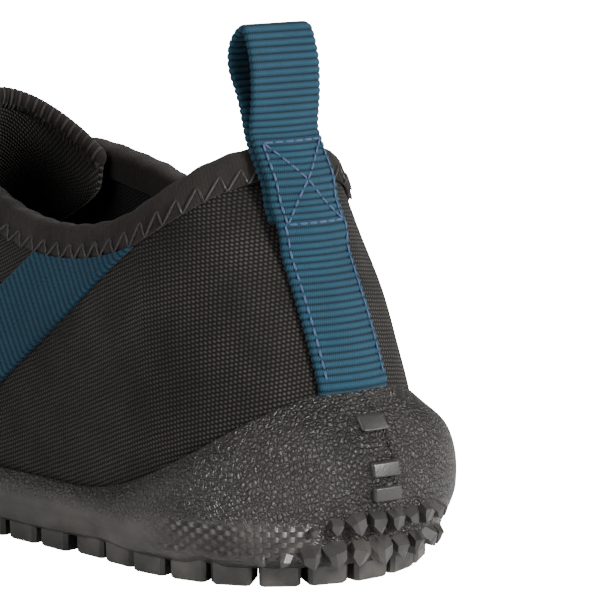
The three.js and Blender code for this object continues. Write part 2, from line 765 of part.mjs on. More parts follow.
const instepBody = (from, to, rows, offset, thickness) => {
  const point = (i, j, face) => {
    const share = lerp(from, to, i / rows);
    const across = lerp(-1, 1, j / instepColumns);
    const lift = offset + (face ? thickness / 2 : -thickness / 2);
    return instepAt(share, across).addScaledVector(instepNormal(share, across), lift);
  };
  return sheetBody(rows, instepColumns, point);
};
const hemShare = 0.94;
const hemThickness = instepThickness + 0.8;
addPart('instep_panel', instepBody(0, hemShare - 0.006, instepRows, 0, instepThickness), knitColor, 0.95);
addPart('instep_hem', instepBody(hemShare, 1, 2, 0, hemThickness), bindingColor, 0.95);

export default shoe;
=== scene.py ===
import math

import bmesh
import bpy
import numpy as np
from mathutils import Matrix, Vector


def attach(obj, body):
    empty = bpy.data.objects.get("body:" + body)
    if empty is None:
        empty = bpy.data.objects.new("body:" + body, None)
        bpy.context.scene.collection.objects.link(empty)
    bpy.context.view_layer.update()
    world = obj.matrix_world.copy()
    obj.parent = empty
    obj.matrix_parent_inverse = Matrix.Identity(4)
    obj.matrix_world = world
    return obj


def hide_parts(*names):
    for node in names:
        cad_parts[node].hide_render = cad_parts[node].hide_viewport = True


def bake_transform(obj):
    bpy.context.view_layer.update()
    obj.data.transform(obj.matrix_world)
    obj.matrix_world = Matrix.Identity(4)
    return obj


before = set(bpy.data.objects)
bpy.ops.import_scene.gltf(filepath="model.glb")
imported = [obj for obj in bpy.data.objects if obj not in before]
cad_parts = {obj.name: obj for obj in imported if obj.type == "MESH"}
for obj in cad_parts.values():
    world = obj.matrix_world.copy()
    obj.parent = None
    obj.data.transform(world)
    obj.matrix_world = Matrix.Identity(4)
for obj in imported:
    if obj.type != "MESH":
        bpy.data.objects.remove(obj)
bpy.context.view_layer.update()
MM = 0.001

# ---------- the foot's surface ----------
# place: signed distance round the foot in stations, + outer side, 0 at the heel.
# rise: 0 at the feather line, 1 at the top edge.

HEEL_HALF, WAIST_HALF, BALL_HALF = 31.5, 31.5, 46.75  # half-widths at the feather line
COLLAR_HALF, THROAT_HALF = 26.5, 19.0  # half-widths at the top edge
COLLAR_HEIGHT, ANKLE_HEIGHT, THROAT_HEIGHT = 86.0, 67.3, 78.0
VAMP_HEIGHT, TOE_HEIGHT = 62.0, 36.0
HEEL_END, TOE_END = 130.4, -134.3
COLLAR_Y = HEEL_END - 27.5
FOOT_Z = 8.3  # the feather line's height
LAST, THROAT = 13, 9  # the stations at the toe and at the front of the opening
DRAWN_LENGTH = 258.7  # the set-backs below were drawn on an upper of this length
SET_BACK_SCALE = (HEEL_END - TOE_END) / DRAWN_LENGTH

# along, outer half-width, inner half-width, top half-width, top set back, top height, belly
STATIONS = np.array([
    (0.0, 0, 0, 0, 0, COLLAR_HEIGHT, 5),
    (0.018, 0.52 * HEEL_HALF, 0.5 * HEEL_HALF, 0.55 * COLLAR_HALF, 2.4, COLLAR_HEIGHT - 2.6, 5),
    (0.062, 0.85 * HEEL_HALF, 0.83 * HEEL_HALF, 0.84 * COLLAR_HALF, 8.3, COLLAR_HEIGHT - 8.2, 4.6),
    (0.126, HEEL_HALF, 0.985 * HEEL_HALF, 0.985 * COLLAR_HALF, 19.5, ANKLE_HEIGHT + 3.3, 4),
    (0.206, 1.04 * WAIST_HALF, 0.98 * WAIST_HALF, COLLAR_HALF, 36, ANKLE_HEIGHT, 3.6),
    (0.31, 1.1 * WAIST_HALF, 0.9 * WAIST_HALF, 0.99 * COLLAR_HALF, 54, ANKLE_HEIGHT + 1.4, 3),
    (0.422, 1.22 * WAIST_HALF, 0.88 * WAIST_HALF, 0.93 * COLLAR_HALF, 73, THROAT_HEIGHT - 3.6, 3),
    (0.542, 0.92 * BALL_HALF, 0.7 * BALL_HALF, THROAT_HALF, 93.5, THROAT_HEIGHT, 3),
    (0.661, BALL_HALF, 0.9 * BALL_HALF, 0.44 * COLLAR_HALF, 121, THROAT_HEIGHT - 6.5, 2.5),
    (0.765, 1.01 * BALL_HALF, 0.99 * BALL_HALF, 0, 149.5, VAMP_HEIGHT, 2),
    (0.855, 0.92 * BALL_HALF, 0.96 * BALL_HALF, 0, 172, 54.2, 2),
    (0.925, 0.75 * BALL_HALF, 0.82 * BALL_HALF, 0, 190, 46.92, 1.5),
    (0.977, 0.45 * BALL_HALF, 0.55 * BALL_HALF, 0, 204, 40.68, 1),
    (1.0, -0.05 * BALL_HALF, 0.05 * BALL_HALF, 0, 214, TOE_HEIGHT, 0.5),
])


def lerp(a, b, share):
    """The value a share of the way from a to b."""
    return a + (b - a) * share


def smooth(x, low, high):
    """An eased step from 0 at low to 1 at high."""
    share = np.clip((np.asarray(x, float) - low) / (high - low), 0, 1)
    return share * share * (3 - 2 * share)


def halved(low, high, short, turns):
    """Closes in on where a test stops holding, from both sides."""
    for _ in range(turns):
        middle = (low + high) / 2
        below = short(middle)
        low, high = np.where(below, middle, low), np.where(below, high, middle)
    return low, high


def bump(away, width):
    """A rounded bump, 1 in its middle."""
    return np.exp(-((away / width) ** 2))


def catmull(points, share, closed=False):
    """Points at the given shares of a smooth curve through all the given ones."""
    points = np.asarray(points, float)
    share = np.asarray(share, float)
    count = len(points)
    if closed:
        spot = share * count
        cell = np.floor(spot).astype(int)
        p0, p1, p2, p3 = (points[(cell + k) % count] for k in (-1, 0, 1, 2))
    else:
        spot = share * (count - 1)
        cell = np.clip(np.floor(spot).astype(int), 0, count - 2)
        ends = np.vstack([2 * points[0] - points[1], points, 2 * points[-1] - points[-2]])
        p0, p1, p2, p3 = (ends[cell + k] for k in (0, 1, 2, 3))
    w = (spot - cell)[..., None]
    m1, m2 = 0.5 * (p2 - p0), 0.5 * (p3 - p1)
    return p1 + m1 * w + (3 * (p2 - p1) - 2 * m1 - m2) * w**2 + (2 * (p1 - p2) + m1 + m2) * w**3


def base_point(index, side):
    s = STATIONS[index]
    return (side * s[1 if side > 0 else 2], HEEL_END - s[0] * (HEEL_END - TOE_END), FOOT_Z)


def top_point(index, side):
    s = STATIONS[index]
    return (side * s[3], COLLAR_Y - s[4] * SET_BACK_SCALE, s[5])


BASE_LOOP = [base_point(i, 1) for i in range(LAST, 0, -1)] + [base_point(i, -1) for i in range(LAST)]
COLLAR_LINE = [top_point(i, 1) for i in range(THROAT, 0, -1)] + [
    top_point(i, -1) for i in range(THROAT + 1)
]
RIDGE_LINE = [top_point(i, 1) for i in range(THROAT, LAST + 1)]


def base_at(place):
    """The feather line."""
    return catmull(BASE_LOOP, (LAST - place) / (2 * LAST), closed=True)


def unit(v):
    return v / np.maximum(np.linalg.norm(v, axis=-1, keepdims=True), 1e-12)


def base_outward(place):
    """The level direction that faces out of the feather line."""
    step = 0.002
    t = unit(base_at(place - step) - base_at(place + step))
    return np.stack([t[..., 1], -t[..., 0], np.zeros_like(t[..., 0])], -1)


def top_at(place):
    """The top edge, and in front of the opening the ridge over the toes."""
    place = np.asarray(place, float)
    far = np.abs(place)
    collar = catmull(COLLAR_LINE, np.clip((THROAT - place) / (2 * THROAT), 0, 1))
    ridge = catmull(RIDGE_LINE, np.clip((far - THROAT) / (LAST - THROAT), 0, 1))
    return np.where((far <= THROAT)[..., None], collar, ridge)


def ridge_slope(place):
    far = np.abs(place)
    a = top_at(np.minimum(far, LAST - 0.05))
    b = top_at(np.minimum(far + 0.05, LAST))
    rise, run = b[..., 2] - a[..., 2], b[..., 1] - a[..., 1]
    return rise / np.where(np.abs(run) < 1e-9, 1e-9, run)


def rib(place):
    """The four control points of the upper's curve from feather line to top edge."""
    place = np.asarray(place, float)
    far = np.abs(place)
    start, end = base_at(place), top_at(place)
    flat = smooth(far, 6, THROAT)
    belly = np.interp(far, np.arange(LAST + 1), STATIONS[:, 6])
    first = start + base_outward(place) * belly[..., None]
    first[..., 2] += (end[..., 2] - start[..., 2]) * lerp(0.3, 0.42, flat)
    standing = (first - end) * 0.42
    lying = (first - end) * 0.55
    lying[..., 2] = np.where(far > THROAT, lying[..., 1] * ridge_slope(place), lying[..., 2] * 0.25)
    return start, first, end + lerp(standing, lying, flat[..., None]), end


def skin(place, rise):
    """Points on the upper's outer face."""
    place, rise = np.broadcast_arrays(np.asarray(place, float), np.asarray(rise, float))
    a, b, c, d = rib(place)
    r = rise[..., None]
    s = 1 - r
    return a * s**3 + 3 * b * s * s * r + 3 * c * s * r * r + d * r**3


def rib_up(place, rise):
    rise = np.clip(rise, 0.02, 0.98)
    return unit(skin(place, rise + 0.002) - skin(place, rise - 0.002))


def outward(place, rise):
    round_foot = skin(place - 0.02, rise) - skin(place + 0.02, rise)
    return unit(np.cross(round_foot, rib_up(place, rise)))


def on_skin(place, rise, offset=0.0):
    """Points that stand off the upper's outer face by an offset, inwards if it is negative."""
    offset = np.asarray(offset, float)[..., None]
    return skin(place, rise) + outward(place, rise) * offset


def rise_at(place, height):
    """The rise at which the skin reaches a height, found by halving."""
    place, height = np.broadcast_arrays(np.asarray(place, float), np.asarray(height, float))
    a, b, c, d = (corner[..., 2] for corner in rib(place))

    def too_low(r):
        s = 1 - r
        return a * s**3 + 3 * b * s * s * r + 3 * c * s * r * r + d * r**3 < height

    return halved(np.zeros(place.shape), np.ones(place.shape), too_low, 20)[0]


def rib_length(place):
    line = skin(np.asarray(place, float)[..., None], np.linspace(0, 1, 60))
    return np.linalg.norm(np.diff(line, axis=-2), axis=-1).sum(-1)


def below_top(place, distance):
    return 1 - distance / rib_length(place)


RIM_HEEL, RIM_WAIST, RIM_TOE = 38.5, 15.0, 28.0


def rim_height(place):
    """Height of the rubber's upper edge."""
    far = np.abs(place)
    heel = (RIM_HEEL - RIM_WAIST) * (1 - smooth(far, 0.2, 4))
    return RIM_WAIST + heel + (RIM_TOE - RIM_WAIST) * smooth(far, 6, LAST)


def cup_bulge(place):
    """How far the rubber stands out of the upper, more at the heel than at the sides."""
    return lerp(8.0, 3.2, smooth(np.abs(place), 0, 4.5))


# ---------- building meshes ----------


def new_object(name, data):
    """An object in the scene."""
    made = bpy.data.objects.new(name, data)
    bpy.context.scene.collection.objects.link(made)
    return made


def add_piece(name, points, faces, finishes, uv=None, marks=None, soft=True):
    """A mesh object from millimetre points. finishes are its materials, marks the face materials."""
    mesh = bpy.data.meshes.new(name)
    mesh.from_pydata((np.asarray(points) * MM).tolist(), [], faces)
    for finish in finishes:
        mesh.materials.append(finish)
    if uv is not None:
        layer = mesh.uv_layers.new(name="cloth")
        corner = np.empty(len(mesh.loops), dtype=np.int32)
        mesh.loops.foreach_get("vertex_index", corner)
        layer.data.foreach_set("uv", np.asarray(uv, dtype=np.float32)[corner].ravel())
    if marks is not None:
        mesh.polygons.foreach_set("material_index", np.asarray(marks, dtype=np.int32))
    mesh.polygons.foreach_set("use_smooth", np.full(len(mesh.polygons), soft))
    mesh.validate()
    mesh.update()
    return new_object(name, mesh)


def grid_faces(rows, columns, start=0, wrap=False, flip=False):
    """Quads over a grid of points that is stored row by row."""
    i, j = np.meshgrid(np.arange(rows - 1), np.arange(columns if wrap else columns - 1), indexing="ij")
    k = (j + 1) % columns
    a, b = start + i * columns + j, start + (i + 1) * columns + j
    c, d = start + (i + 1) * columns + k, start + i * columns + k
    quads = np.stack([a, b, c, d] if not flip else [a, d, c, b], -1)
    return quads.reshape(-1, 4).tolist()


def tidy(piece, reach=0.00001, turn=True):
    """Joins doubled points and turns every face outwards."""
    shape = bmesh.new()
    shape.from_mesh(piece.data)
    bmesh.ops.remove_doubles(shape, verts=shape.verts, dist=reach)
    if turn:
        bmesh.ops.recalc_face_normals(shape, faces=shape.faces)
    shape.to_mesh(piece.data)
    shape.free()
    return piece


def layer_piece(name, outer, inner, finishes, uv, inner_uv=None, inner_mark=0):
    """A closed sheet between an outer and an inner grid of points."""
    rows, columns = outer.shape[:2]
    count = rows * columns
    points = np.concatenate([outer.reshape(-1, 3), inner.reshape(-1, 3)])
    faces = grid_faces(rows, columns)
    inner_faces = grid_faces(rows, columns, count, flip=True)
    marks = [0] * len(faces) + [inner_mark] * len(inner_faces)
    faces += inner_faces
    ring = [i * columns for i in range(rows)]
    ring += [(rows - 1) * columns + j for j in range(1, columns)]
    ring += [i * columns + columns - 1 for i in range(rows - 2, -1, -1)]
    ring += [j for j in range(columns - 2, 0, -1)]
    for here, there in zip(ring, ring[1:] + ring[:1]):
        faces.append([here, here + count, there + count, there])
        marks.append(0)
    both = np.concatenate([uv.reshape(-1, 2), (uv if inner_uv is None else inner_uv).reshape(-1, 2)])
    return tidy(add_piece(name, points, faces, finishes, both, marks))


def tube_piece(name, sections, finishes, uv):
    """A closed section swept through rows of points, capped at both ends."""
    rows, columns = sections.shape[:2]
    faces = grid_faces(rows, columns, wrap=True)
    faces.append(list(range(columns)))
    faces.append([(rows - 1) * columns + j for j in range(columns - 1, -1, -1)])
    return tidy(add_piece(name, sections.reshape(-1, 3), faces, finishes, uv.reshape(-1, 2)))


def arc_along(points, axis=0):
    """Running length along one axis of a grid of points."""
    step = np.linalg.norm(np.diff(points, axis=axis), axis=-1)
    return np.insert(np.cumsum(step, axis=axis), 0, 0, axis=axis)


# ---------- repeated shapes: stitches, lugs and tread blocks ----------


def copies_tree():
    """Geometry nodes that set one shape on every point, turned by the point's own attributes."""
    tree = bpy.data.node_groups.new("placed copies", "GeometryNodeTree")
    kinds = {"Points": "Geometry", "Shape": "Object", "Spread": "Float", "Seed": "Int", "Finish": "Material"}
    for label, kind in kinds.items():
        tree.interface.new_socket(label, in_out="INPUT", socket_type="NodeSocket" + kind)
    tree.interface.new_socket("Copies", in_out="OUTPUT", socket_type="NodeSocketGeometry")
    given = tree.nodes.new("NodeGroupInput").outputs
    result = tree.nodes.new("NodeGroupOutput")

    def attribute(name):
        kind = "GeometryNodeInputNamedAttribute"
        return put(tree, kind, {"Name": name}, data_type="FLOAT_VECTOR").outputs[0]

    shape = put(tree, "GeometryNodeObjectInfo", {"Object": given["Shape"]})
    low = calc(tree, "SUBTRACT", 1.0, given["Spread"])
    keys = {2: low, 3: calc(tree, "ADD", 1.0, given["Spread"]), "Seed": given["Seed"]}
    chance = put(tree, "FunctionNodeRandomValue", keys, data_type="FLOAT")
    keys = {0: attribute("size"), "Scale": chance.outputs[1]}
    size = put(tree, "ShaderNodeVectorMath", keys, operation="SCALE")
    turn = "FunctionNodeAlignRotationToVector"
    run = put(tree, turn, {"Vector": attribute("run")}, axis="X")
    keys = {"Rotation": run.outputs[0], "Vector": attribute("facing")}
    facing = put(tree, turn, keys, axis="Z", pivot_axis="X")
    keys = {"Points": given["Points"], "Instance": shape.outputs["Geometry"]}
    keys.update({"Rotation": facing.outputs[0], "Scale": size.outputs[0]})
    placed = put(tree, "GeometryNodeInstanceOnPoints", keys)
    real = put(tree, "GeometryNodeRealizeInstances", {"Geometry": placed.outputs[0]})
    keys = {"Geometry": real.outputs[0], "Material": given["Finish"]}
    done = put(tree, "GeometryNodeSetMaterial", keys)
    tree.links.new(done.outputs[0], result.inputs["Copies"])
    return tree


def set_out(name, shape, points, run, facing, size, finish, spread=0.0, seed=1):
    """Copies of a shape at millimetre points, as one plain mesh object."""
    count = len(points)
    mesh = bpy.data.meshes.new(name)
    mesh.from_pydata((np.asarray(points) * MM).tolist(), [], [])
    for label, values in (("run", run), ("facing", facing), ("size", np.asarray(size) * MM)):
        values = np.broadcast_to(values, (count, 3)).astype(np.float32)
        mesh.attributes.new(label, "FLOAT_VECTOR", "POINT").data.foreach_set("vector", values.ravel())
    holder = new_object(name + "_points", mesh)
    tree = bpy.data.node_groups.get("placed copies") or copies_tree()
    modifier = holder.modifiers.new("copies", "NODES")
    modifier.node_group = tree
    given = {"Shape": shape, "Spread": spread, "Seed": seed, "Finish": finish}
    for item in tree.interface.items_tree:
        if item.in_out == "INPUT" and item.name in given:
            modifier[item.identifier] = given[item.name]
    bpy.context.view_layer.update()
    ready = holder.evaluated_get(bpy.context.evaluated_depsgraph_get())
    plain = bpy.data.meshes.new_from_object(ready)
    plain.name = name
    plain.materials.clear()
    plain.materials.append(finish)
    plain.polygons.foreach_set("material_index", np.zeros(len(plain.polygons), dtype=np.int32))
    holder.modifiers.clear()
    bpy.data.objects.remove(holder)
    return new_object(name, plain)


def pattern_shape(name, points, faces, soft):
    """A unit shape for set_out; it is taken away once every copy is made."""
    mesh = bpy.data.meshes.new(name)
    mesh.from_pydata(points, [], faces)
    mesh.polygons.foreach_set("use_smooth", [soft] * len(mesh.polygons))
    mesh.update()
    return tidy(new_object(name, mesh), 0.0001)


def join_into(piece, *others):
    """Adds the other pieces' meshes to the first piece, as one moulding or one row of thread."""
    shape = bmesh.new()
    shape.from_mesh(piece.data)
    slots = [m.name for m in piece.data.materials]
    for other in others:
        for finish in other.data.materials:
            if finish.name not in slots:
                slots.append(finish.name)
                piece.data.materials.append(finish)
        before = len(shape.faces)
        shape.from_mesh(other.data)
        shape.faces.ensure_lookup_table()
        marks = [slots.index(m.name) for m in other.data.materials]
        for face in shape.faces[before:]:
            face.material_index = marks[min(face.material_index, len(marks) - 1)]
    shape.to_mesh(piece.data)
    shape.free()
    for other in others:
        bpy.data.objects.remove(other)
    return piece


# ---------- materials ----------


def put(tree, kind, values=(), **settings):
    """A node with its settings, its inputs linked or filled in."""
    node = tree.nodes.new(kind)
    for name, value in settings.items():
        setattr(node, name, value)
    for key, value in dict(values).items():
        if isinstance(value, bpy.types.NodeSocket):
            tree.links.new(value, node.inputs[key])
        else:
            node.inputs[key].default_value = value
    return node


def calc(tree, operation, a, b=0.0, c=0.0):
    return put(tree, "ShaderNodeMath", {0: a, 1: b, 2: c}, operation=operation).outputs[0]


def paint(code):
    """A hex colour as linear light, with full opacity."""
    parts = [int(code[k : k + 2], 16) / 255 for k in (0, 2, 4)]
    return [p / 12.92 if p < 0.04045 else ((p + 0.055) / 1.055) ** 2.4 for p in parts] + [1.0]


def mixed(tree, share, a, b):
    """A colour between a and b."""
    return put(tree, "ShaderNodeMix", {0: share, 6: a, 7: b}, data_type="RGBA").outputs[2]


def between(tree, value, low, high, start=0.0, end=1.0):
    keys = {"Value": value, "From Min": start, "From Max": end, "To Min": low, "To Max": high}
    return put(tree, "ShaderNodeMapRange", keys).outputs[0]


def shade(tree, share, dark, light):
    """A colour between two hex colours."""
    return mixed(tree, share, paint(dark), paint(light))


def ridges(tree, value):
    """Rounded ridges, one for every whole number."""
    return calc(tree, "ABSOLUTE", calc(tree, "SINE", calc(tree, "MULTIPLY", value, math.pi)))


def staggered(tree, across, row, width):
    """Where a point lies along its row, every other row moved on by half a width."""
    odd = calc(tree, "MODULO", calc(tree, "FLOOR", row), 2.0)
    return calc(tree, "MULTIPLY_ADD", odd, 0.5, calc(tree, "DIVIDE", across, width))


def noise(tree, place, scale, detail=2.0, **more):
    """Cloudy noise; 2 is the node's own detail."""
    keys = {"Vector": place, "Scale": scale, "Detail": detail, **more}
    return put(tree, "ShaderNodeTexNoise", keys).outputs


def new_group(name, inputs, outputs):
    """An empty shader group with float inputs (a vector where the default is None) and outputs."""
    group = bpy.data.node_groups.new(name, "ShaderNodeTree")
    for label, value in inputs.items():
        kind = "NodeSocketVector" if value is None else "NodeSocketFloat"
        socket = group.interface.new_socket(label, in_out="INPUT", socket_type=kind)
        if value is not None:
            socket.default_value = value
    for label in outputs:
        group.interface.new_socket(label, in_out="OUTPUT", socket_type="NodeSocketFloat")
    return group, group.nodes.new("NodeGroupInput").outputs, group.nodes.new("NodeGroupOutput").inputs


def knit_rows_group():
    """Rows of small raised loops, each row half a loop along from the last."""
    inputs = {"Cloth": None, "Row pitch": 1.0, "Loop pitch": 1.0, "Wander": 0.1}
    group, given, result = new_group("knit rows", inputs, ("Height", "Loops"))
    drift = noise(group, given["Cloth"], 0.35, 1.0)[0]
    pull = calc(group, "MULTIPLY", calc(group, "SUBTRACT", drift, 0.5), given["Wander"])
    axes = put(group, "ShaderNodeSeparateXYZ", {0: given["Cloth"]}).outputs
    row = calc(group, "DIVIDE", calc(group, "ADD", axes[1], pull), given["Row pitch"])
    across = ridges(group, row)
    along = ridges(group, staggered(group, axes[0], row, given["Loop pitch"]))
    loops = calc(group, "MULTIPLY", across, along)
    height = calc(group, "MULTIPLY_ADD", loops, 0.7, calc(group, "MULTIPLY", across, 0.3))
    group.links.new(height, result["Height"])
    group.links.new(loops, result["Loops"])
    return group


def fibre_group():
    """Loose short fibres standing off a cloth, and their uneven tone."""
    inputs = {"Place": None, "Fineness": 3.0}
    group, given, result = new_group("loose fibres", inputs, ("Height", "Tone"))
    fine = noise(group, given["Place"], given["Fineness"], 4.0, Roughness=0.7)[0]
    broad = noise(group, given["Place"], 0.08, 3.0)[0]
    group.links.new(fine, result["Height"])
    tone = calc(group, "ADD", calc(group, "MULTIPLY", fine, 0.5), broad)
    group.links.new(calc(group, "SUBTRACT", tone, 0.25), result["Tone"])
    return group


def grain_group():
    """Pebbled leather-like grain moulded into rubber, with painted shade for the creases between pebbles."""
    inputs = {"Place": None, "Pebble": 1.3}
    group, given, result = new_group("pebbled grain", inputs, ("Height", "Painted crease shade"))
    bend = noise(group, given["Place"], 0.9)["Color"]
    shift = put(group, "ShaderNodeVectorMath", {0: bend, "Scale": 0.9}, operation="SCALE")
    moved = put(group, "ShaderNodeVectorMath", {0: given["Place"], 1: shift.outputs[0]}, operation="ADD")
    keys = {"Vector": moved.outputs[0], "Scale": given["Pebble"], "Randomness": 1.0}
    cells = put(group, "ShaderNodeTexVoronoi", keys, feature="DISTANCE_TO_EDGE")
    lift = calc(group, "POWER", between(group, cells.outputs["Distance"], 0.0, 1.0, 0.0, 0.35), 0.6)
    height = calc(group, "MULTIPLY_ADD", noise(group, given["Place"], 5.0, 3.0)[0], 0.25, lift)
    group.links.new(height, result["Height"])
    # The second output is painted shade, darkest in the creases between pebbles.
    group.links.new(calc(group, "SUBTRACT", 1.0, lift), result["Painted crease shade"])
    return group


def wear_group():
    """Scuffing and pale dust that gather towards the ground."""
    inputs = {"Place": None, "Reach": 18.0}
    group, given, result = new_group("ground wear", inputs, ("Dust", "Scuffs"))
    height = put(group, "ShaderNodeSeparateXYZ", {0: given["Place"]}).outputs[2]
    low = calc(group, "SUBTRACT", 1.0, calc(group, "DIVIDE", height, given["Reach"]))
    patches = between(group, noise(group, given["Place"], 0.12, 6.0)[0], 0.0, 1.0, 0.45, 0.75)
    group.links.new(calc(group, "MULTIPLY", calc(group, "MAXIMUM", low, 0.0), patches), result["Dust"])
    scratch = noise(group, given["Place"], 0.7, 8.0)[0]
    group.links.new(between(group, scratch, 0.0, 1.0, 0.58, 0.72), result["Scuffs"])
    return group


GROUPS = {
    "knit": knit_rows_group(),
    "fibres": fibre_group(),
    "grain": grain_group(),
    "wear": wear_group(),
}


def start_material(name, roughness, sheen=0.0, gloss=0.5):
    """A material with its shader, and Object coordinates turned to millimetres."""
    finish = bpy.data.materials.new(name)
    finish.use_nodes = True
    tree = finish.node_tree
    shader = tree.nodes["Principled BSDF"]
    shader.inputs["Roughness"].default_value = roughness
    shader.inputs["Sheen Weight"].default_value = sheen
    shader.inputs["Sheen Roughness"].default_value = 0.5
    shader.inputs["Specular IOR Level"].default_value = gloss
    where = put(tree, "ShaderNodeTexCoord")
    place = put(tree, "ShaderNodeMapping", {0: where.outputs["Object"], "Scale": (1000, 1000, 1000)})
    return finish, tree, shader, place.outputs[0], where.outputs["UV"]


def group_node(tree, name, values):
    """The outputs of a shared pattern, with its inputs linked or filled in."""
    return put(tree, "ShaderNodeGroup", values, node_tree=GROUPS[name]).outputs


def finish_surface(tree, shader, color, height, strength, distance, roughness=None):
    """Links colour, a bump of the given depth in metres, and roughness to the shader."""
    tree.links.new(color, shader.inputs["Base Color"])
    keys = {"Height": height, "Strength": strength, "Distance": distance}
    tree.links.new(put(tree, "ShaderNodeBump", keys).outputs[0], shader.inputs["Normal"])
    if roughness is not None:
        tree.links.new(roughness, shader.inputs["Roughness"])


def knit_material(name, dark, light, row, loop, depth, fuzz=3.0, sheen=0.15, wander=0.3):
    finish, tree, shader, place, cloth = start_material(name, 0.85, sheen, 0.15)
    keys = {"Cloth": cloth, "Row pitch": row, "Loop pitch": loop, "Wander": wander}
    knit = group_node(tree, "knit", keys)
    fibres = group_node(tree, "fibres", {"Place": place, "Fineness": fuzz})
    # Painted highlight: the loop tops are painted lighter and the gaps between them darker, over the fibres'
    # own uneven tone.
    loop_highlight_and_tone = calc(tree, "MULTIPLY", calc(tree, "POWER", knit["Loops"], 1.5), fibres["Tone"])
    color = shade(tree, loop_highlight_and_tone, dark, light)
    height = calc(tree, "MULTIPLY_ADD", fibres["Height"], 0.25, knit["Height"])
    rough = between(tree, knit["Loops"], 0.95, 0.72)
    finish_surface(tree, shader, color, height, 0.9, depth, rough)
    return finish


def felted_material(name, dark, light, pitch, depth, sheen):
    """Brushed knit with fine ribs across its length, its colour a little darker between the ribs as painted
    shade.
    """
    finish, tree, shader, place, cloth = start_material(name, 0.95, sheen, 0.1)
    fibres = group_node(tree, "fibres", {"Place": place, "Fineness": 2.4})
    along = put(tree, "ShaderNodeSeparateXYZ", {0: cloth}).outputs[0]
    wobble = calc(tree, "MULTIPLY_ADD", fibres["Height"], 0.5, calc(tree, "DIVIDE", along, pitch))
    ribs = ridges(tree, wobble)
    # Painted shade between the ribs, over the fibres' own tone.
    share = calc(tree, "MULTIPLY", fibres["Tone"], calc(tree, "MULTIPLY_ADD", ribs, 0.2, 0.8))
    height = calc(tree, "MULTIPLY_ADD", ribs, 0.2, fibres["Height"])
    finish_surface(tree, shader, shade(tree, share, dark, light), height, 0.8, depth)
    return finish


def webbing_material(name, dark, light):
    """Grosgrain: raised ribs across the tape, each of fine slanted yarns; the colour has a painted highlight
    on the crests and painted shade between them.
    """
    finish, tree, shader, place, cloth = start_material(name, 0.75, 0.05, 0.15)
    axes = put(tree, "ShaderNodeSeparateXYZ", {0: cloth}).outputs
    rib = calc(tree, "MULTIPLY", axes[1], math.pi / RIB_PITCH)
    crest = calc(tree, "ABSOLUTE", calc(tree, "SINE", rib))
    slant = calc(tree, "MULTIPLY_ADD", axes[1], 0.32, axes[0])
    yarn = calc(tree, "ABSOLUTE", calc(tree, "SINE", calc(tree, "MULTIPLY", slant, math.pi / 0.46)))
    fibres = group_node(tree, "fibres", {"Place": place, "Fineness": 3.0})
    # Painted highlight and shade: lighter on the rib and yarn crests, darker between them, times the fibres'
    # own tone.
    weave = calc(tree, "MULTIPLY_ADD", yarn, 0.5, 0.5)
    share = calc(tree, "MULTIPLY", calc(tree, "POWER", crest, 0.8), weave)
    share = calc(tree, "MULTIPLY", share, calc(tree, "MULTIPLY_ADD", fibres["Tone"], 0.6, 0.55))
    height = calc(tree, "MULTIPLY_ADD", yarn, 0.5, calc(tree, "MULTIPLY", fibres["Height"], 0.3))
    finish_surface(tree, shader, shade(tree, share, dark, light), height, 0.8, 0.00016)
    return finish


def thread_material(name, dark, light, roughness):
    finish, tree, shader, place, _ = start_material(name, roughness, 0.1)
    twist_and_glint = put(tree, "ShaderNodeTexWave", {"Vector": place, "Scale": 1.1, "Distortion": 1.5})
    # The colour runs from the dark thread to a painted glint along each twist; the same twist gives the
    # bump.
    color = shade(tree, twist_and_glint.outputs[1], dark, light)
    finish_surface(tree, shader, color, twist_and_glint.outputs[1], 0.7, 0.00008)
    return finish


def rubber_material(name, dark, light, grained):
    """Moulded rubber; the grained one carries pebbles, and scales low on the heel's sides. Its colour
    carries painted shade in the pebbles' creases and a painted shadow under each scale's edge; on the smooth
    one the darkening is real scuffing.
    """
    finish, tree, shader, place, cloth = start_material(name, 0.36)
    wear = group_node(tree, "wear", {"Place": place, "Reach": 16.0})
    if grained:
        grain = group_node(tree, "grain", {"Place": place, "Pebble": 1.0})
        zones = put(tree, "ShaderNodeAttribute", attribute_name="zones").outputs["Color"]
        zone = put(tree, "ShaderNodeSeparateColor", {0: zones}).outputs
        scales = scale_height(tree, cloth)
        pebbles = calc(tree, "MULTIPLY", grain["Height"], zone[0])
        height = calc(tree, "MULTIPLY_ADD", calc(tree, "MULTIPLY", scales, zone[1]), 1.15, pebbles)
        # Painted shade in the pebbles' creases, and a painted shadow line along each scale's edge.
        crease_shade_and_scuffs = calc(tree, "MULTIPLY", grain["Painted crease shade"], zone[0])
        scale_shadow = calc(tree, "MULTIPLY", between(tree, scales, 1.0, 0.0, 0.05, 0.3), zone[1])
        crease_shade_and_scuffs = calc(tree, "MULTIPLY_ADD", scale_shadow, 1.3, crease_shade_and_scuffs)
        depth = 0.0006
    else:
        height = noise(tree, place, 2.5, 5.0)[0]
        # On smooth rubber the darkening comes from real scuffs.
        crease_shade_and_scuffs = calc(tree, "MULTIPLY", wear["Scuffs"], 0.3)
        depth = 0.00006
    tone = noise(tree, place, 0.06)[0]
    clouds = between(tree, tone, 0.45, 1.0, 0.3, 0.7)
    share = calc(tree, "SUBTRACT", clouds, calc(tree, "MULTIPLY", crease_shade_and_scuffs, 0.5))
    color = shade(tree, share, dark, light)
    color = mixed(tree, calc(tree, "MULTIPLY", wear["Dust"], 0.25), color, paint("8d877d"))
    rough = calc(tree, "MULTIPLY_ADD", wear["Scuffs"], 0.12, between(tree, tone, 0.27, 0.4))
    finish_surface(tree, shader, color, height, 0.9, depth, rough)
    return finish


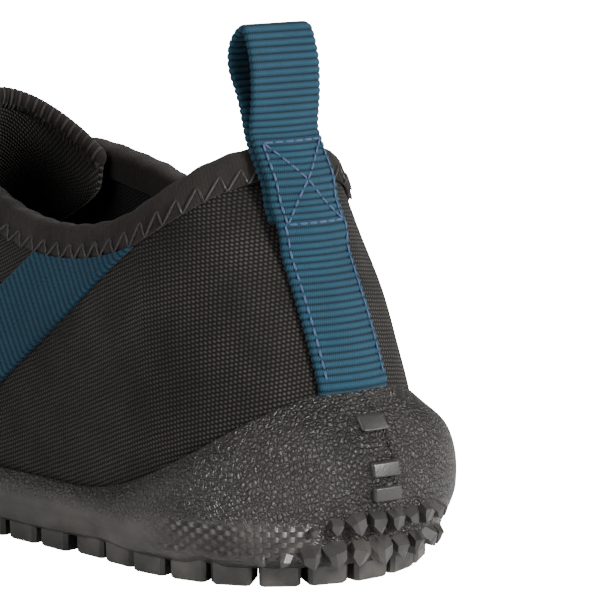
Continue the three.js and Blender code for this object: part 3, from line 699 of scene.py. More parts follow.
def scale_height(tree, cloth):
    """Overlapping fish scales, each row half a scale along from the last."""
    axes = put(tree, "ShaderNodeSeparateXYZ", {0: cloth}).outputs
    row = calc(tree, "DIVIDE", axes[1], SCALE_ROW)
    column = staggered(tree, axes[0], row, SCALE_WIDTH)
    side = calc(tree, "SUBTRACT", calc(tree, "FRACT", column), 0.5)
    up = calc(tree, "FRACT", row)
    curve = calc(tree, "MULTIPLY", calc(tree, "MULTIPLY", side, side), 3.2)
    edge = calc(tree, "FRACT", calc(tree, "ADD", up, curve))
    return calc(tree, "SUBTRACT", 1.0, edge)


def foam_material(name, dark, light, scale, depth):
    """Open pores for foams and pressed fibre for boards."""
    finish, tree, shader, place, _ = start_material(name, 0.9)
    pores = put(tree, "ShaderNodeTexVoronoi", {"Vector": place, "Scale": scale}, feature="SMOOTH_F1")
    cloud = calc(tree, "MULTIPLY", noise(tree, place, 0.2, 4.0)[0], 0.4)
    share = calc(tree, "MULTIPLY_ADD", pores.outputs[0], 0.6, cloud)
    color = shade(tree, share, dark, light)
    finish_surface(tree, shader, color, pores.outputs[0], 0.6, depth)
    return finish


RIB_PITCH = 1.5
SCALE_WIDTH = 3.5
SCALE_ROW = 1.15

KNIT = knit_material("black dotted knit", "080808", "55504a", 0.86, 0.8, 0.0003, 3.0, 0.06)
INNER = knit_material("black inner mesh", "0b0b0b", "3c3c3c", 0.9, 0.9, 0.0002, 5.0, 0.05)
HEM = knit_material("ribbed cuff knit", "171413", "433c38", 1.1, 30.0, 0.0004, 3.0, 0.08, 0.1)
BINDING = felted_material("brushed grey binding", "110f0f", "37322f", 0.75, 0.00025, 0.08)
WEBBING = webbing_material("petrol blue webbing", "07161d", "22495d")
# The second colour of each thread is a painted glint.
BLUE_THREAD = thread_material("blue thread", "1c2c4c", "3f5780", 0.6)
DARK_THREAD = thread_material("black thread", "070707", "2c2a28", 0.4)
RUBBER = rubber_material("grained rubber", "131211", "3d3936", True)
SMOOTH_RUBBER = rubber_material("smooth rubber", "1b1a19", "383634", False)
FOAM = foam_material("grey cushion foam", "2c2c2e", "4a4a4d", 1.4, 0.0002)
BOARD = foam_material("pressed fibre board", "a39c8b", "c9c4b5", 0.6, 0.0001)
INSOLE_CLOTH = foam_material("insole knit cloth", "0e0e0e", "38383a", 1.1, 0.0002)
COUNTER = foam_material("moulded counter board", "757572", "9b9b98", 0.5, 0.00008)


def dress(piece, slot, *nodes, body="shoe"):
    """Fixes a finished piece to its body and hides the CAD nodes it stands for; the slot is not used."""
    if nodes:
        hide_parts(*nodes)
    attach(piece, body)
    return piece


# ---------- rubber cup sole ----------

TREAD, FLOOR_Z, GAP, LIP = 4.0, 8.0, 0.3, 1.2
WALL = np.array([(0, 0.25), (0.06, 0.62), (0.14, 0.86), (0.45, 1), (0.68, 0.94), (0.85, 0.64), (1, 0)])
WALL_LINE = catmull(WALL, np.linspace(0, 1, 80))


def arch_depth(place, z):
    """How far the flowing arches above the tread are cut in."""
    far = np.abs(place)
    small = 1.5 * bump(far - 2.05, 0.18) * (1 - smooth(z, 4, 8))
    large = 2.0 * bump(far - 3.65, 0.4) * (1 - smooth(z, 4, 11))
    return small + large


def cup_at(place, z, lift=0.0):
    """The sole's outer wall at a height above the ground."""
    place, z = np.broadcast_arrays(np.asarray(place, float), np.asarray(z, float))
    share = (z - TREAD) / (rim_height(place) - TREAD)
    bulge = np.interp(share, WALL_LINE[:, 0], WALL_LINE[:, 1])
    middle = smooth(share, 0.1, 0.4) * (1 - smooth(share, 0.8, 1))
    fuller = 1.4 * bump(place + 1.0, 0.6) * middle  # the inner corner of the heel
    spread = GAP + LIP + (cup_bulge(place) - LIP) * bulge - arch_depth(place, z) + fuller + lift
    point = skin(place, rise_at(place, np.maximum(z, FOOT_Z))) + base_outward(place) * spread[..., None]
    point[..., 2] = z
    return point


HEEL_PLACES = np.linspace(-3, 3, 601)
HEEL_ARC = arc_along(cup_at(HEEL_PLACES, 18.0))
HEEL_ARC -= np.interp(0, HEEL_PLACES, HEEL_ARC)


def heel_place(distance):
    """The place that is a distance in millimetres round from the heel's middle."""
    return np.interp(distance, HEEL_ARC, HEEL_PLACES)


def cup_facing(place, z):
    sideways = cup_at(place - 0.02, z) - cup_at(place + 0.02, z)
    upwards = cup_at(place, z + 0.3) - cup_at(place, np.maximum(z - 0.3, TREAD))
    return unit(np.cross(sideways, upwards))


def make_cup():
    places = np.concatenate([np.linspace(13, -13, 760)[:-1], heel_place(np.linspace(-1.2, 1.2, 25))])
    places = np.unique(places)[::-1]
    rim = rim_height(places)
    shares = np.concatenate([np.linspace(0, 0.2, 8)[:-1], np.linspace(0.2, 1, 30)])
    z = TREAD + np.outer(rim - TREAD, shares)
    around = places[:, None]
    distance = np.interp(places, HEEL_PLACES, HEEL_ARC, left=-99, right=99)[:, None]
    groove = 0.12 * bump(np.abs(distance) - 0.8, 0.4) - 0.4 * bump(distance, 0.28)
    wall = cup_at(around, z, groove)
    lean = base_outward(places)
    lip_rise = rise_at(places, rim)
    lip = [skin(places, lip_rise) + lean * (GAP + LIP * s) for s in (0.75, 0.35, 0.0)]
    lip[0][:, 2] += 0.22
    lip[1][:, 2] += 0.22
    inner = []
    for share in np.linspace(0.15, 1, 6):
        height = lerp(rim, FOOT_Z, share)
        inner.append(skin(places, rise_at(places, height)) + lean * GAP)
    foot = inner[-1].copy()
    foot[:, 2] = FLOOR_Z
    section = np.concatenate([wall, np.stack(lip + inner + [foot], 1)], 1)
    rows, columns = section.shape[:2]
    faces = []
    for i in range(rows):
        k = (i + 1) % rows
        for j in range(columns - 1):
            faces.append([i * columns + j, i * columns + j + 1, k * columns + j + 1, k * columns + j])
    faces.append([i * columns for i in range(rows)])
    faces.append([i * columns + columns - 1 for i in range(rows - 1, -1, -1)])
    run = arc_along(section[:, 20])
    run -= np.interp(0, places[::-1], run[::-1])
    uv = np.stack([np.broadcast_to(run[:, None], (rows, columns)), section[..., 2]], -1)
    cup = add_piece("sole_cup", section.reshape(-1, 3), faces, [RUBBER], uv.reshape(-1, 2))
    far = np.abs(around)
    height = section[..., 2]
    scales = smooth(far, 0.6, 0.9) * (1 - smooth(far, 2.2, 3.0))
    scales = scales * smooth(height, 5.6, 7.0) * (1 - smooth(height, 13.2, 15.4))
    pebbles = lerp(1.0, smooth(height, 9.5, 15), smooth(far, 0.8, 1.4) * (1 - smooth(far, 11, 12)))
    pebbles = pebbles * (1 - scales)
    zones = np.stack([pebbles, scales, scales * 0, scales * 0 + 1], -1).astype(np.float32)
    cup.data.attributes.new("zones", "FLOAT_COLOR", "POINT").data.foreach_set("color", zones.ravel())
    return tidy(cup)


def raised_bar(name, distance, z, half_width, half_height, lift):
    """A low bar with rounded corners that follows the heel wall."""
    a, b = np.meshgrid(np.linspace(-1, 1, 33), np.linspace(-1, 1, 17), indexing="ij")
    rim = np.maximum(np.abs(a), np.abs(b))
    top = lift * (1 - smooth(rim, 0.86, 1.0)) - 0.35 * smooth(rim, 0.93, 1.0)
    corner = 1 - 0.06 * (a * b) ** 6
    place = heel_place(distance + a * half_width * corner)
    height = z + b * half_height * corner
    front = cup_at(place, height, top)
    back = cup_at(place, height, -0.8)
    uv = np.stack([a * half_width, b * half_height], -1)
    return layer_piece(name, front, back, [SMOOTH_RUBBER], uv)


def lug_shape(name, lean):
    """A faceted wedge like a shield that points down, with a slanting top face and a split front."""
    outline = [(-0.5, 0.36), (-0.05, 0.5), (0.5, 0.4), (0.45, -0.12), (lean, -0.5), (-0.46, -0.1)]
    base = [(x, y, -0.3) for x, y in outline]
    crown = [(-0.38, 0.16, 0.78), (lean, 0.26, 0.98), (0.38, 0.2, 0.7), (0.32, -0.12, 0.8),
             (lean, -0.34, 1.0), (-0.33, -0.08, 0.88)]
    faces = [[(k + 1) % 6, k, 6 + k, 6 + (k + 1) % 6] for k in range(6)]
    faces += [list(range(6)), [7, 6, 11, 10], [8, 7, 10, 9]]
    return pattern_shape(name, base + crown, faces, False)


def block_shape(name):
    """A tread block, narrower on its inner side, with its corners and ground edges bevelled."""
    outline = np.array([(-0.5, 0.4), (-0.42, 0.5), (0.42, 0.5), (0.5, 0.4), (0.43, -0.42), (0.35, -0.5),
                        (-0.35, -0.5), (-0.43, -0.42)])
    levels = [(-0.5, 0.86), (-0.4, 0.97), (0.5, 1.0)]
    points = [(x * s, y * s, z) for z, s in levels for x, y in outline]
    faces = grid_faces(len(levels), len(outline), wrap=True)
    faces += [list(range(7, -1, -1)), [16 + k for k in range(8)]]
    return pattern_shape(name, points, faces, False)


LUG_ROWS = ((20, 13.6, 4.6, 4.1, 5.0, 2.3), (27, 7.6, 5.4, 5.0, 6.0, 2.9))  # reach, height, pitch and size


def edge_lugs():
    """Two staggered rows of wedges round the heel's lower edge, and the same round the toe."""
    shapes = [lug_shape("wedge_left", -0.12), lug_shape("wedge_right", 0.12)]
    rows = []
    for middle in (0, 13):
        for row, (reach, z, pitch, width, tall, out) in enumerate(LUG_ROWS):
            count = int(reach / pitch)
            for k in range(-count, count + 1):
                rows.append((middle, (k + 0.5 * row) * pitch, z, width, tall, out, reach))
    made = []
    for turn, shape in enumerate(shapes):
        points, run, facing, size = [], [], [], []
        for index, (middle, distance, z, width, tall, out, reach) in enumerate(rows):
            if index % 2 != turn:
                continue
            place = heel_place(distance) if middle == 0 else 13 - np.abs(distance) / 17
            if middle and distance < 0:
                place = -place
            fade = 1 - 0.55 * smooth(abs(distance), reach * 0.55, reach)
            z = z - 2.2 * (1 - fade)
            place = np.array(float(place))
            points.append(cup_at(place, z))
            out_way = cup_facing(place, np.array(z))
            facing.append(out_way)
            side = unit(np.cross(np.array([0, 0, 1.0]), out_way))
            tip = math.sin(index * 2.4) * 0.38
            run.append(side * math.cos(tip) + np.array([0, 0, 1.0]) * math.sin(tip))
            size.append((width * fade, tall * fade, out * fade))
        name = "lugs_%d" % turn
        made.append(set_out(name, shape, points, run, facing, size, SMOOTH_RUBBER, 0.1, 3 + turn))
        bpy.data.objects.remove(shape)
    return made


def inside(outline, point):
    a, b = outline, np.roll(outline, 1, axis=0)
    cross = (a[:, 1] > point[1]) != (b[:, 1] > point[1])
    with np.errstate(divide="ignore", invalid="ignore"):
        x = (b[:, 0] - a[:, 0]) * (point[1] - a[:, 1]) / (b[:, 1] - a[:, 1]) + a[:, 0]
    return np.count_nonzero(cross & (point[0] < x)) % 2 == 1


def tread_blocks():
    """A ring of blocks along the edge and a staggered field of blocks inside it."""
    places = np.linspace(13, -13, 1200)[:-1]
    edge = cup_at(places, TREAD + 0.2)
    run = arc_along(edge)
    total = run[-1] + np.linalg.norm(edge[0] - edge[-1])
    count = int(total / 10.4)
    points, ways, sizes = [], [], []
    for k in range(count):
        place = np.interp((k + 0.5) * total / count, run, places)
        lean = base_outward(np.array(place))
        points.append(cup_at(np.array(place), TREAD + 0.2) - lean * 4.6)
        ways.append(np.array([lean[1], -lean[0], 0]))
        sizes.append((8.8, 8.6, 5.0))
    outline = edge[:, :2]
    for row in range(-14, 15):
        for column in range(-5, 6):
            spot = np.array([(column + 0.5 * (row % 2)) * 11.6, row * 9.6])
            clear = np.min(np.linalg.norm(outline - spot, axis=1))
            if inside(outline, spot) and clear > 15.2:
                points.append(np.array([*spot, 0]))
                ways.append(np.array([1.0, 0, 0]))
                sizes.append((9.6, 7.6, 5.0))
    points = np.array(points)
    points[:, 2] = 2.5
    shape = block_shape("tread_block")
    blocks = set_out("tread_blocks", shape, points, np.array(ways), (0, 0, 1), sizes, SMOOTH_RUBBER)
    bpy.data.objects.remove(shape)
    return blocks


sole = make_cup()
bars = [raised_bar("bar_%d" % k, 2.2, z, 3.5, 1.55, 1.1) for k, z in enumerate((33.2, 24.2, 19.2))]
join_into(sole, *bars)
dress(sole, "rubber", "outsole")
lugs = edge_lugs()
tread = join_into(tread_blocks(), *lugs)
dress(tread, "rubber")

# ---------- knitted upper ----------

PANEL = 3.0
BINDING_HEIGHT = 6.5
SEAM = 0.06
TILT = math.radians(21)


CLOTH_SLOPE = [(0, 14, 45, 400), (0.12, 0.2, math.tan(TILT), math.tan(TILT))]


def cloth_lines(place, points):
    """Cloth coordinates: rows rise towards the heel, less so beside the heel strap."""
    middle = skin(np.linspace(0, 13, 400), 0.5)
    distance = np.interp(np.abs(place), np.linspace(0, 13, 400), arc_along(middle))
    height = arc_along(points, axis=1)
    slope = np.interp(distance, *CLOTH_SLOPE)
    steps = np.linspace(0, 400, 801)
    tilt = np.interp(steps, *CLOTH_SLOPE)
    climb = np.interp(distance, steps, np.cumsum(tilt) * 0.5)
    return np.stack([distance - height * slope, height * np.cos(np.arctan(slope)) + climb], -1)


def soft_relief(points, amount):
    """Slight unevenness of a stretched cloth."""
    x, y, z = points[..., 0], points[..., 1], points[..., 2]
    broad = np.sin(x * 0.21 + z * 0.13) + np.sin(y * 0.17 - z * 0.23 + 1.7)
    return amount * (broad + np.sin((x + y + z) * 0.31 + 0.4)) / 3


def side_panel(label, side):
    places = side * np.linspace(SEAM / 4, 9 - SEAM, 260)[:, None]
    rises = np.linspace(0, 1, 60)[None, :]
    place, rise = np.broadcast_arrays(places, rises)
    bare = skin(place, rise)
    hem = (1 - smooth(rise, 0.8, 0.95)) * smooth(rise, 0.2, 0.4)
    outer = on_skin(place, rise, soft_relief(bare, 0.25) * hem)
    inner = on_skin(place, rise, -PANEL)
    uv = cloth_lines(place, bare)
    panel = layer_piece("side_panel_" + label, outer, inner, [KNIT, INNER], uv, uv, 1)
    return dress(panel, "knit", "quarter_" + label)


def vamp():
    places = np.linspace(9, 13, 90)
    rises = np.concatenate([np.linspace(0, 1, 40), np.linspace(1, 0, 40)[1:]])
    side = np.where(np.arange(79) <= 39, 1.0, -1.0)
    place = places[:, None] * side[None, :]
    rise = np.broadcast_to(rises[None, :], place.shape)
    normal = outward(place, rise)
    across = outward(-place, rise)
    meets = np.zeros(place.shape, bool)
    meets[:, 39] = True
    meets[-1, :] = True
    normal = np.where(meets[..., None], unit(normal + across), normal)
    ridge = 1 - smooth(rise, 0.86, 1.0)
    even = normal.copy()
    even[..., 0] = normal[..., 0] * ridge
    normal = unit(lerp(unit(even), normal, (rise < 0.86)[..., None]))
    bare = skin(place, rise)
    inner = bare - normal * PANEL
    uv = cloth_lines(place, bare)
    front = layer_piece("vamp_panel", bare, inner, [KNIT, INNER], uv, uv, 1)
    return dress(tidy(front, 0.0002, False), "knit", "vamp")


panels = [side_panel("lateral", 1), side_panel("medial", -1)]
toe_panel = vamp()

# ---------- collar binding ----------

ARC_PLACES = np.linspace(-8.6, 8.6, 1200)
ARC_RUN = arc_along(skin(ARC_PLACES, 1.0))
ARC_RUN -= np.interp(0, ARC_PLACES, ARC_RUN)
# distance below the top edge (negative above it), offset from the upper's outer face
BINDING_SECTION = np.array([
    (6.5, 0.35), (6.55, 0.8), (6.2, 1.3), (5.0, 1.5), (3.4, 1.5), (1.6, 1.55), (0.2, 1.45), (-0.8, 0.9),
    (-1.4, -0.2), (-1.5, -1.5), (-1.4, -2.8), (-0.8, -3.9), (0.2, -4.3), (1.6, -4.4), (3.4, -4.45),
    (5.4, -4.45), (6.4, -4.2), (6.5, -3.7), (6.2, -3.35), (3.2, -3.32), (0.4, -3.3), (-0.3, -3.0),
    (-0.35, -1.5), (-0.3, 0.0), (0.4, 0.3), (3.2, 0.32), (6.0, 0.32),
])


def edge_point(place, down, offset):
    """A point by its distance below the top edge; above the edge it carries straight on."""
    inside_cloth = np.maximum(down, 0)
    rise = 1 - inside_cloth / rib_length(place)
    return on_skin(place, rise, offset) - rib_up(place, 0.98) * np.minimum(down, 0)[..., None]


def collar_binding():
    end = 8.58
    run = np.linspace(np.interp(end, ARC_PLACES, ARC_RUN), np.interp(-end, ARC_PLACES, ARC_RUN), 520)
    places = np.interp(run, ARC_RUN, ARC_PLACES)
    line = catmull(BINDING_SECTION, np.linspace(0, 1, 49)[:-1], closed=True)
    grid = (len(run), len(line))
    down, offset = np.broadcast_to(line[:, 0], grid), np.broadcast_to(line[:, 1], grid)
    fuzz = np.random.default_rng(5).normal(0, 0.05, grid)
    pucker = 0.16 * np.cos(run[:, None] * 2 * math.pi / ZIGZAG) * smooth(down, 1.5, 4.5) * (offset > 0.4)
    crown = 0.14 * np.sin(run[:, None] * 0.9) * (down < 0.5)
    place = np.broadcast_to(places[:, None], grid)
    points = edge_point(place, down + crown, offset + fuzz - pucker)
    around = arc_along(line)
    uv = np.stack(np.broadcast_arrays(run[:, None], around[None, :]), -1)
    tape = tube_piece("collar_tape", points, [BINDING], uv)
    return dress(tape, "binding", "collar_binding")


ZIGZAG = 4.5


def grain_of_thread():
    """One stitch: a rounded grain, thickest in the middle, of unit length."""
    rings = [(-0.5, 0.05), (-0.42, 0.7), (-0.2, 1.0), (0.2, 1.0), (0.42, 0.7), (0.5, 0.05)]
    angles = np.linspace(0, 2 * math.pi, 8)[:-1]
    points = [(x, 0.5 * r * math.cos(a), 0.5 * r * math.sin(a)) for x, r in rings for a in angles]
    faces = grid_faces(len(rings), 7, wrap=True)
    faces += [list(range(7)), [35 + k for k in range(6, -1, -1)]]
    return pattern_shape("stitch", points, faces, True)


STITCH = grain_of_thread()


def sew(name, starts, ends, facing, thickness, finish, spread=0.04):
    """Stitches from each start to its end, lying on a surface that faces the given way."""
    starts, ends = np.asarray(starts), np.asarray(ends)
    length = np.linalg.norm(ends - starts, axis=1)
    size = np.stack([length, np.full(len(length), thickness), np.full(len(length), thickness * 0.8)], -1)
    middle = (starts + ends) / 2
    return set_out(name, STITCH, middle, unit(ends - starts), facing, size, finish, spread)


def binding_zigzag():
    end = np.interp(8.5, ARC_PLACES, ARC_RUN)
    first = np.arange(-end, end - ZIGZAG, ZIGZAG)
    low, high, after = (np.interp(first + on, ARC_RUN, ARC_PLACES) for on in (0, 0.7, ZIGZAG))
    level = np.ones(low.shape)
    bottom, following = (edge_point(place, 6.9 * level, 1.5 * level) for place in (low, after))
    top = edge_point(high, 3.2 * level, 1.75 * level)
    facing = outward(high, 0.95 * level)
    rows = sew("zigzag", np.vstack([bottom, top]), np.vstack([top, following]), np.vstack([facing, facing]),
               0.55, DARK_THREAD)
    return dress(rows, "binding")


def panel_stitches():
    """Flat-lock stitches across the two joins of the side panels and the front panel."""
    starts, ends, facing = [], [], []
    for side in (-1, 1):
        low = rise_at(np.array(side * 9.0), rim_height(np.array(side * 9.0)) + 0.6)
        rise = np.linspace(float(low), 0.97, 52)
        behind, ahead = np.full(51, side * 8.93), np.full(51, side * 9.07)
        starts += [on_skin(behind, rise[:-1], 0.3), on_skin(ahead, rise[1:], 0.3)]
        ends += [on_skin(ahead, rise[1:], 0.3), on_skin(behind, rise[1:], 0.3)]
        facing += [outward(np.full(51, side * 9.0), rise[1:])] * 2
    rows = sew("panel_stitches", np.vstack(starts), np.vstack(ends), np.vstack(facing), 0.5, DARK_THREAD)
    return dress(rows, "knit")


panel_stitches()
binding = collar_binding()
zigzag = binding_zigzag()

# ---------- webbing: heel strap, pull loop and the tail behind the strap ----------

TAPE, HALF_TAPE = 1.3, 9.0
SEWN_GAP = 0.45
ROWS_PER_RIB = 8


def across_tape(middle_count):
    """Shares from edge to edge of the tape, closer together at the edges."""
    edge = np.linspace(0.84, 1, 5)
    return np.concatenate([-edge[::-1], np.linspace(-0.8, 0.8, middle_count), edge])


def tape_relief(run, across):
    """Grosgrain ribs: their height, where each one crests, and how near the tape's edge is."""
    crest = np.abs(np.sin(run * math.pi / RIB_PITCH))
    edge = smooth(np.abs(across), HALF_TAPE - 1.4, HALF_TAPE)
    return (0.34 * crest**0.7 - 0.1) * (1 - 0.7 * edge), crest, edge


def tape_piece(name, middle, normal, sideways, bend, run):
    """A webbing ribbon from its middle line; bend gives each cross point's own setback."""
    across = across_tape(17)
    rows, columns = len(middle), len(across)
    x = np.broadcast_to(across * HALF_TAPE, (rows, columns))
    length = np.broadcast_to(run[:, None], (rows, columns))
    lift, crest, edge = tape_relief(length, x)
    wide = x + np.sign(x) * edge * (0.28 * crest - 0.2)
    core = middle[:, None] + sideways[:, None] * wide[..., None] + bend
    thick = (TAPE / 2 + lift) * (1 - 0.45 * smooth(np.abs(x), HALF_TAPE - 0.5, HALF_TAPE))
    half = normal * thick[..., None]
    return layer_piece(name, core + half, core - half, [WEBBING], np.stack([x, length], -1))


def place_by_x(x, z):
    """The place near the heel whose skin has a given x and height."""
    far = np.full(np.broadcast(x, z).shape, 2.5)
    low, high = halved(-far, far, lambda place: skin(place, rise_at(place, z))[..., 0] < x, 22)
    return (low + high) / 2


def strap_surface(z, x, offset):
    """The upper's surface under the webbing, with a lift over the collar binding."""
    reach = min(float(skin(0, 1.0)[2]), COLLAR_HEIGHT) - 2.5
    level = np.minimum(z, reach)
    place = place_by_x(x, level)
    point = on_skin(place, rise_at(place, level), offset)
    beyond = np.maximum(z - reach, 0)
    return point + rib_up(np.zeros(()), np.array(0.98)) * beyond[..., None]


LOOP_DEPTH = 7.6
FOLD_Z = float(skin(0, below_top(np.array(0.0), BINDING_HEIGHT))[2])
TAIL_LENGTH = 17.0
TAIL_LOW = float(skin(0, below_top(np.array(0.0), TAIL_LENGTH))[2])


def over_binding(z):
    """Gap under webbing sewn up the heel: it climbs over the collar binding."""
    return SEWN_GAP + smooth(z, FOLD_Z - 7, FOLD_Z - 2) * (1.1 + SEWN_GAP)


def over_tail(z):
    """What the strap climbs further, over the loop's end that is sewn down behind it."""
    return smooth(z, TAIL_LOW - 7, TAIL_LOW - 1.5) * (TAPE + SEWN_GAP)


def heel_webbing():
    """One length of tape: up the heel, round the pull loop and down behind its own top."""
    top_edge = float(skin(0, 1.0)[2])
    low = float(rim_height(np.array(0.0))) - 1.0
    z = np.linspace(low, top_edge, 64)
    sunk = 0.9 * (1 - smooth(z, low, low + 1.6))
    offset = over_binding(z) + over_tail(z) + TAPE / 2 - sunk
    x = np.linspace(-HALF_TAPE, HALF_TAPE, 19)
    level, shift = np.meshgrid(z, x, indexing="ij")
    sheet = strap_surface(level, shift, offset[:, None])
    strap = sheet[:, 9]
    sag = sheet[..., 1] - strap[:, None, 1]
    tail_z = np.linspace(top_edge, TAIL_LOW, 30)
    back = strap_surface(tail_z, np.zeros(30), over_binding(tail_z) + TAPE / 2)
    top_z = COLLAR_HEIGHT + 25.8
    front_y, front_z = strap[-1, 1:] + (-1.4, 2.6)
    back_y, back_z = back[0, 1:] + (-1.3, 2.2)
    rear_y = front_y - 0.4 - LOOP_DEPTH
    rise_to = [lerp(front_z, top_z, s) for s in (0.38, 0.68, 0.84, 0.6, 0.3)]
    loop = np.array([
        strap[-1, 1:], (front_y, front_z), (front_y - 0.4, rise_to[0]), (front_y - 0.9, rise_to[1]),
        (front_y - 3.6, top_z - TAPE / 2), (rear_y + 0.7, rise_to[2]), (rear_y, rise_to[3]),
        (lerp(rear_y, back_y, 0.45), rise_to[4]), (back_y, back_z), back[0, 1:],
    ])
    corners = np.vstack([strap[:, 1:], catmull(loop, np.linspace(0, 1, 110))[1:-1], back[:, 1:]])
    run = arc_along(corners)
    step = RIB_PITCH / ROWS_PER_RIB
    even = np.arange(0, run[-1], step)
    back_and_up = [np.interp(even, run, corner) for corner in corners.T]
    line = np.stack([np.zeros(len(even)), *back_and_up], -1)
    for _ in range(6):
        line[1:-1] = (line[:-2] + 2 * line[1:-1] + line[2:]) / 4
    tangent = unit(np.gradient(line, axis=0))
    normal = np.stack([np.zeros(len(line)), tangent[:, 2], -tangent[:, 1]], -1)
    across = across_tape(17)
    strap_run = arc_along(strap[:, 1:])
    setback = np.stack([np.interp(across * HALF_TAPE, x, row) for row in sag])
    bend = np.zeros((len(line), len(across), 3))
    end = strap_run[-1]
    for j in range(len(across)):
        here = np.interp(even, strap_run, setback[:, j])
        here = here * (1 - smooth(even, end - 3, end + 12))
        here += setback[-1, j] * smooth(even, run[-1] - 29, run[-1] - 16)
        bend[:, j, 1] = here
    slope = np.gradient(bend[..., 1], axis=1) / np.gradient(across * HALF_TAPE)
    turned = np.broadcast_to(normal[:, None], bend.shape).copy()
    turned[..., 0] = -slope * normal[:, None, 1]
    sideways = np.broadcast_to(np.array([1.0, 0, 0]), line.shape)
    tape = tape_piece("heel_webbing", line, unit(turned), sideways, bend, even)
    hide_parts("heel_strap", "pull_loop", "loop_tail")
    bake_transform(tape)
    return tape


webbing = heel_webbing()


def on_strap(x, z):
    """A point on the strap's outer face."""
    return strap_surface(z, x, over_binding(z) + over_tail(z) + TAPE + 0.24)


def strap_stitches():
    """Lock-stitch rows along both edges, and the crossed box that holds the loop's feet."""
    starts, ends = [], []

    def row(a, b, length):
        count = max(int(math.dist(a, b) / length), 1)
        share = np.linspace(0, 1, count + 1)
        x, z = lerp(a[0], b[0], share), lerp(a[1], b[1], share)
        line = on_strap(x, z)
        gap = (line[1:] - line[:-1]) * 0.08
        starts.append(line[:-1] + gap)
        ends.append(line[1:] - gap)

    for side in (-1, 1):
        row((side * 7.2, 40.5), (side * 7.2, 70.0), 2.1)
    box_low, box_high, box_half = 70.0, 85.6, 6.6
    row((-box_half, box_high), (box_half, box_high), 1.9)
    row((-box_half, box_low), (box_half, box_low), 1.9)
    for side in (-1, 1):
        row((side * box_half, box_low), (side * box_half, box_high), 1.9)
        row((side * box_half, box_low), (-side * box_half, box_high), 1.9)
    starts, ends = np.vstack(starts), np.vstack(ends)
    facing = unit(np.stack([starts[:, 0] * 0.03, np.ones(len(starts)), np.full(len(starts), 0.45)], -1))
    return dress(sew("strap_stitches", starts, ends, facing, 0.5, BLUE_THREAD), "webbing")


stitches = strap_stitches()

# ---------- side bands ----------

BAND_TILT = math.radians(41)


def place_by_y(side, y, z):
    """The place on one side of the foot whose skin has a given y and height."""

    def behind(place):
        return skin(side * place, rise_at(side * place, z))[..., 1] > y

    low, high = halved(np.full(y.shape, 1.2), np.full(y.shape, 8.8), behind, 18)
    return side * (low + high) / 2


def side_band(label, side):
    """Webbing that slants down and forwards from the binding to the rubber."""
    shift = across_tape(13) * HALF_TAPE
    start_y = HEEL_END - 62 + shift * math.sin(BAND_TILT)
    start_z = ANKLE_HEIGHT - BINDING_HEIGHT - shift * math.cos(BAND_TILT)

    def along(z):
        return start_y - (start_z - z) / math.tan(BAND_TILT)

    top, low = start_z.copy(), np.full(shift.shape, 17.0)
    for _ in range(8):
        place = place_by_y(side, along(top), top)
        top = lerp(top, skin(place, 1 - (BINDING_HEIGHT + 0.1) / rib_length(place))[..., 2], 0.8)
        low = rim_height(place_by_y(side, along(low), low)) + 0.1
    rows = 240
    share = np.linspace(0, 1, rows)[:, None]
    z = low + (top - low) * share
    place = place_by_y(side, along(z), z)
    length = (start_z - z) / math.sin(BAND_TILT)
    x = np.broadcast_to(shift, z.shape)
    rib = np.abs(np.sin(length * math.pi / RIB_PITCH))
    weave = 0.24 * rib**0.7
    edge = 1 - 0.45 * smooth(np.abs(x), HALF_TAPE - 0.6, HALF_TAPE)
    rise = rise_at(place, z)
    settle = smooth(share, 0, 0.03)
    outer = on_skin(place, rise, SEWN_GAP + (0.2 + 0.7 * settle) * edge + weave * settle)
    inner = on_skin(place, rise, np.full(z.shape, 0.12))
    uv = np.stack([x, length], -1)
    band = layer_piece("band_" + label, outer, inner, [WEBBING], uv)
    return dress(band, "webbing", "side_band_" + label)


bands = [side_band("lateral", 1), side_band("medial", -1)]

# ---------- instep cuff ----------

THROAT_FOOT = top_at(np.array(9.0))


def under_vamp(place, clearance):
    point = on_skin(np.array(place), np.array(1.0), -(PANEL + clearance + 1.3))
    return (float(point[1]), float(point[2]))


INSTEP_LINE = [
    under_vamp(9.6, 0.6),
    under_vamp(9.05, 1.7),
    (THROAT_FOOT[1] + 18, VAMP_HEIGHT - 2.5),
    (THROAT_FOOT[1] + 31, VAMP_HEIGHT + 3.5),
    (THROAT_FOOT[1] + 45, lerp(VAMP_HEIGHT, 91.0, 0.6)),
    (THROAT_FOOT[1] + 52, 91.0),
]
INSTEP_ARC = math.radians(78)


def instep_at(share, across):
    share, across = np.broadcast_arrays(np.asarray(share, float), np.asarray(across, float))
    middle = catmull(INSTEP_LINE, share)
    half = lerp(10, THROAT_HALF - 3.2, smooth(share, 0, 0.6))
    drop = lerp(4, 15, share)
    sweep = 19 * smooth(share, 0.25, 0.85) + 3.5 * bump(share - 0.8, 0.12)
    bend = (1 - np.cos(across * INSTEP_ARC)) / (1 - math.cos(INSTEP_ARC))
    reach = np.sin(across * INSTEP_ARC) / math.sin(INSTEP_ARC)
    return np.stack([half * reach, middle[..., 0] + sweep * bend, middle[..., 1] - drop * bend], -1)


def instep_facing(share, across):
    low, high = np.maximum(share - 0.01, 0), np.minimum(share + 0.01, 1)
    up = instep_at(high, across) - instep_at(low, across)
    sideways = instep_at(share, across + 0.01) - instep_at(share, across - 0.01)
    return -unit(np.cross(sideways, up))


